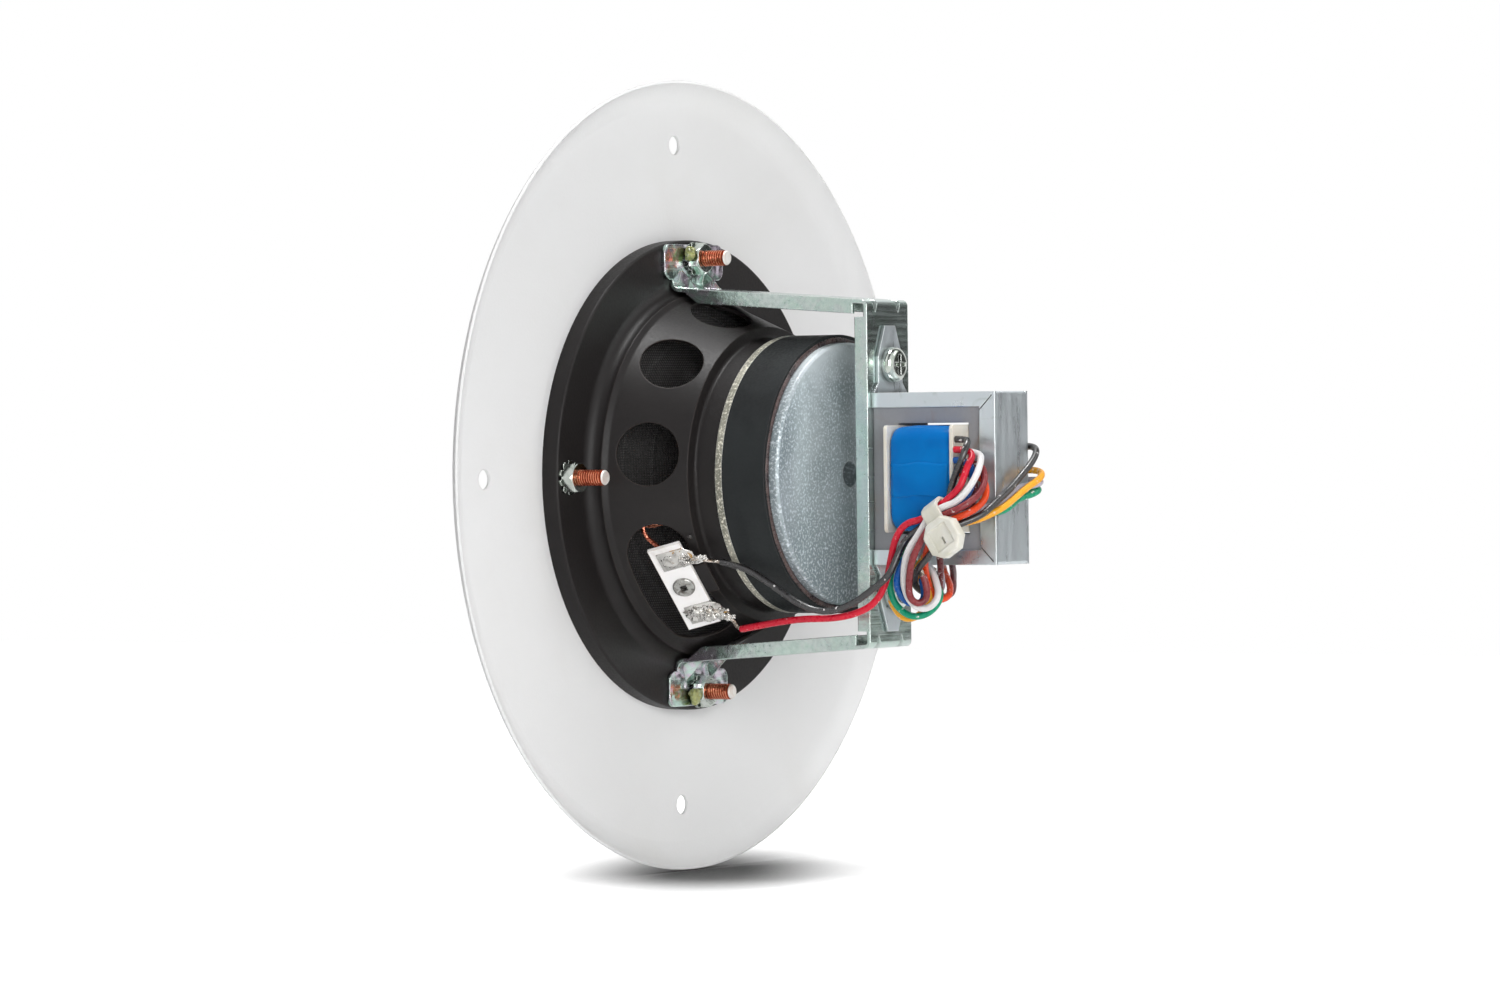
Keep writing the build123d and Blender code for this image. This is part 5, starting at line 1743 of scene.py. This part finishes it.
@dataclass
class Transformer:
    """The line transformer on its bracket."""

    palette: Palette

    def build(self) -> None:
        """Dress the kept solids, then wrap the coil."""
        self.palette.dress({
            "transformer_bracket": self.palette.zinc, "core_laminations": self.palette.laminate,
            "core_strap": self.palette.strap_zinc, "bobbin": self.palette.bobbin,
            "strap_screw_left": self.palette.steel, "strap_screw_right": self.palette.steel,
            "strap_nut_left": self.palette.steel, "strap_nut_right": self.palette.steel,
            "cable_tie": self.palette.nylon,
        })
        Winding(self.palette).build()
        Tape(self.palette).build()
        log.info("transformer ready")


# Studio


@dataclass
class Studio:
    """Camera, floor, world and lamps."""

    position: Point = (-12.18, -1397.74, 956.81)
    turn: Point = (0.4478, -56.2445, 88.7722)
    lens: float = 160.015
    floor_level: float = 100.3
    floor_half: float = 1400.0
    shade_place: Point = (100.3, 3.3, 5.4)
    shade_turn: float = -34.4
    shade_deep: float = 155.0
    shade_wide: float = 45.0
    shade_reach: float = 80.0
    aim: Point = (0.0, 0.0, 40.0)
    sky_lean: float = -0.22
    sky: tuple[tuple[float, float], ...] = ((0.22, 0.8), (0.5, 1.15), (0.64, 0.5), (0.74, 0.05), (0.82, 0.08),
                                            (0.88, 0.8))
    white: Colour = (1, 1, 1, 1)
    pale: Colour = (0.98, 0.98, 0.98, 1)
    dim: Colour = (0.22, 0.22, 0.22, 1)

    def camera(self) -> None:
        """Set the camera at the photograph's place."""
        data = bpy.data.cameras.new("camera")
        data.lens = self.lens
        data.sensor_width = 36.0
        data.clip_start, data.clip_end = 0.05, 20.0
        eye = bpy.data.objects.new("camera", data)
        eye.location = Vector(self.position) * MM
        eye.rotation_euler = Euler([math.radians(angle) for angle in self.turn])
        bpy.context.scene.collection.objects.link(eye)
        bpy.context.scene.camera = eye

    def lamp(self, name: str, place: Sequence[float], size: float, power: float) -> None:
        """Hang one soft square lamp, aimed at the object.

        Args:
            name: The lamp's name.
            place: Where it hangs, in millimetres.
            size: Its side, in metres.
            power: Its power, in watts.
        """
        data = bpy.data.lights.new(name, "AREA")
        data.shape = "SQUARE"
        data.size = size
        data.energy = power
        hung = bpy.data.objects.new(name, data)
        hung.location = Vector(place) * MM
        hung.rotation_euler = (Vector(self.aim) * MM - hung.location).to_track_quat("-Z", "Y").to_euler()
        bpy.context.scene.collection.objects.link(hung)

    def lamps(self) -> None:
        """Hang the studio's lamps."""
        self.lamp("top", (-1300, -60, 60), 0.4, 12.0)
        self.lamp("front", (-100, -900, 1200), 1.0, 16.6)
        self.lamp("rear", (-700, 700, 900), 0.6, 2.0)

    def world(self) -> None:
        """White surround to the eye, a graded one to polished metal, and a dimmer one to the rest."""
        world = bpy.data.worlds.new("studio")
        world.use_nodes = True
        wiring = Wiring(world.node_tree)
        rays = wiring.node("LightPath").outputs
        axes = wiring.fed("SeparateXYZ", wiring.node("TexCoord").outputs["Generated"]).outputs
        height = wiring.maths("MULTIPLY_ADD", axes["X"], self.sky_lean, axes["Z"])
        ramp = wiring.fed("ValToRGB", wiring.stretch(height, (-1.0, 1.0)))
        stops = ramp.color_ramp.elements
        stops[0].position, stops[0].color = 0.0, (0.5, 0.5, 0.52, 1)
        stops[1].position, stops[1].color = 1.0, (0.95, 0.95, 0.95, 1)
        for spot, level in self.sky:
            stop = stops.new(spot)
            stop.color = (level, level, level * 1.01, 1)
        plain = wiring.mix(rays["Is Glossy Ray"], self.dim, ramp.outputs["Color"])
        seen = wiring.maths("ADD", rays["Is Camera Ray"], rays["Is Transmission Ray"], clamp=True)
        wiring.fill(wiring.tree.nodes["Background"], {"Color": wiring.mix(seen, plain, self.white), "Strength": 1.0})
        bpy.context.scene.world = world

    def floor_finish(self) -> bpy.types.Material:
        """Build the floor's white, with a painted contact shadow: camera rays see its colour darkened by ambient
        occlusion, and its glow is held back only over an oval patch at the contact.

        Returns:
            The floor's material.
        """
        material = bpy.data.materials.new("floor_white")
        material.use_nodes = True
        material.node_tree.nodes.clear()
        wiring = Wiring(material.node_tree)
        rays = wiring.node("LightPath").outputs
        # painted contact shadow: ambient occlusion darkens the colour that camera rays see, on top of the lamps' own
        # shade
        near = wiring.fill(wiring.node("AmbientOcclusion", samples=12), {"Distance": self.shade_reach * MM})
        tone = wiring.maths("MULTIPLY", wiring.maths("POWER", near.outputs["AO"], 2.0), 0.8)
        matt = wiring.fed("BsdfDiffuse", wiring.mix(rays["Is Camera Ray"], self.pale, tone))
        # the glow rises away from this oval patch, so the painted contact shadow shows only there
        patch = wiring.fill(wiring.node("Mapping", vector_type="TEXTURE"), {
            "Vector": wiring.node("TexCoord").outputs["Object"], "Location": Vector(self.shade_place) * MM,
            "Rotation": (math.radians(self.shade_turn), 0, 0),
            "Scale": (1.0, self.shade_deep * MM, self.shade_wide * MM)})
        away = wiring.vector_maths("LENGTH", patch.outputs["Vector"]).outputs["Value"]
        rise = wiring.stretch(away, (0.2, 1.0), (0.0, 0.85), "SMOOTHSTEP")
        seen = wiring.maths("ADD", rays["Is Camera Ray"], rays["Is Transmission Ray"], clamp=True)
        glow = wiring.fill(wiring.node("Emission"), {"Strength": wiring.maths("MULTIPLY", seen, rise)})
        both = wiring.fed("AddShader", matt.outputs[0], glow.outputs[0])
        clear = wiring.node("BsdfTransparent")
        behind = wiring.node("NewGeometry").outputs["Backfacing"]
        choose = wiring.fed("MixShader", behind, both.outputs[0], clear.outputs[0])
        wiring.fed("OutputMaterial", choose.outputs[0])
        return material

    def floor(self) -> None:
        """Lay the pale floor under the baffle's lowest edge, see-through from behind."""
        work = bmesh.new()
        bmesh.ops.create_grid(work, x_segments=1, y_segments=1, size=self.floor_half * MM)
        bmesh.ops.transform(work, matrix=Matrix.Rotation(math.radians(-90), 4, "Y"), verts=work.verts)
        bmesh.ops.translate(work, vec=(self.floor_level * MM, 0, 0), verts=work.verts)
        mesh = bpy.data.meshes.new("studio_floor")
        work.to_mesh(mesh)
        work.free()
        slab = bpy.data.objects.new("studio_floor", mesh)
        bpy.context.scene.collection.objects.link(slab)
        slab.data.materials.append(self.floor_finish())

    def build(self) -> None:
        """Set up the whole studio."""
        bpy.context.scene.view_settings.view_transform = "Standard"
        self.camera()
        self.world()
        self.lamps()
        self.floor()
        log.info("studio ready")


def main() -> None:
    """Build the studio, then the object piece by piece."""
    logging.basicConfig(level=logging.INFO)
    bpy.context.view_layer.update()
    Studio().build()
    palette = Palette()
    seat = WallSeat()
    Harness(palette, seat).build()
    Braids(palette, seat).build()
    Fixings(palette).build()
    Diaphragm(palette).build()
    Driver(palette).build()
    Terminals(palette, seat).build()
    Transformer(palette).build()


if __name__ == "__main__":
    main()
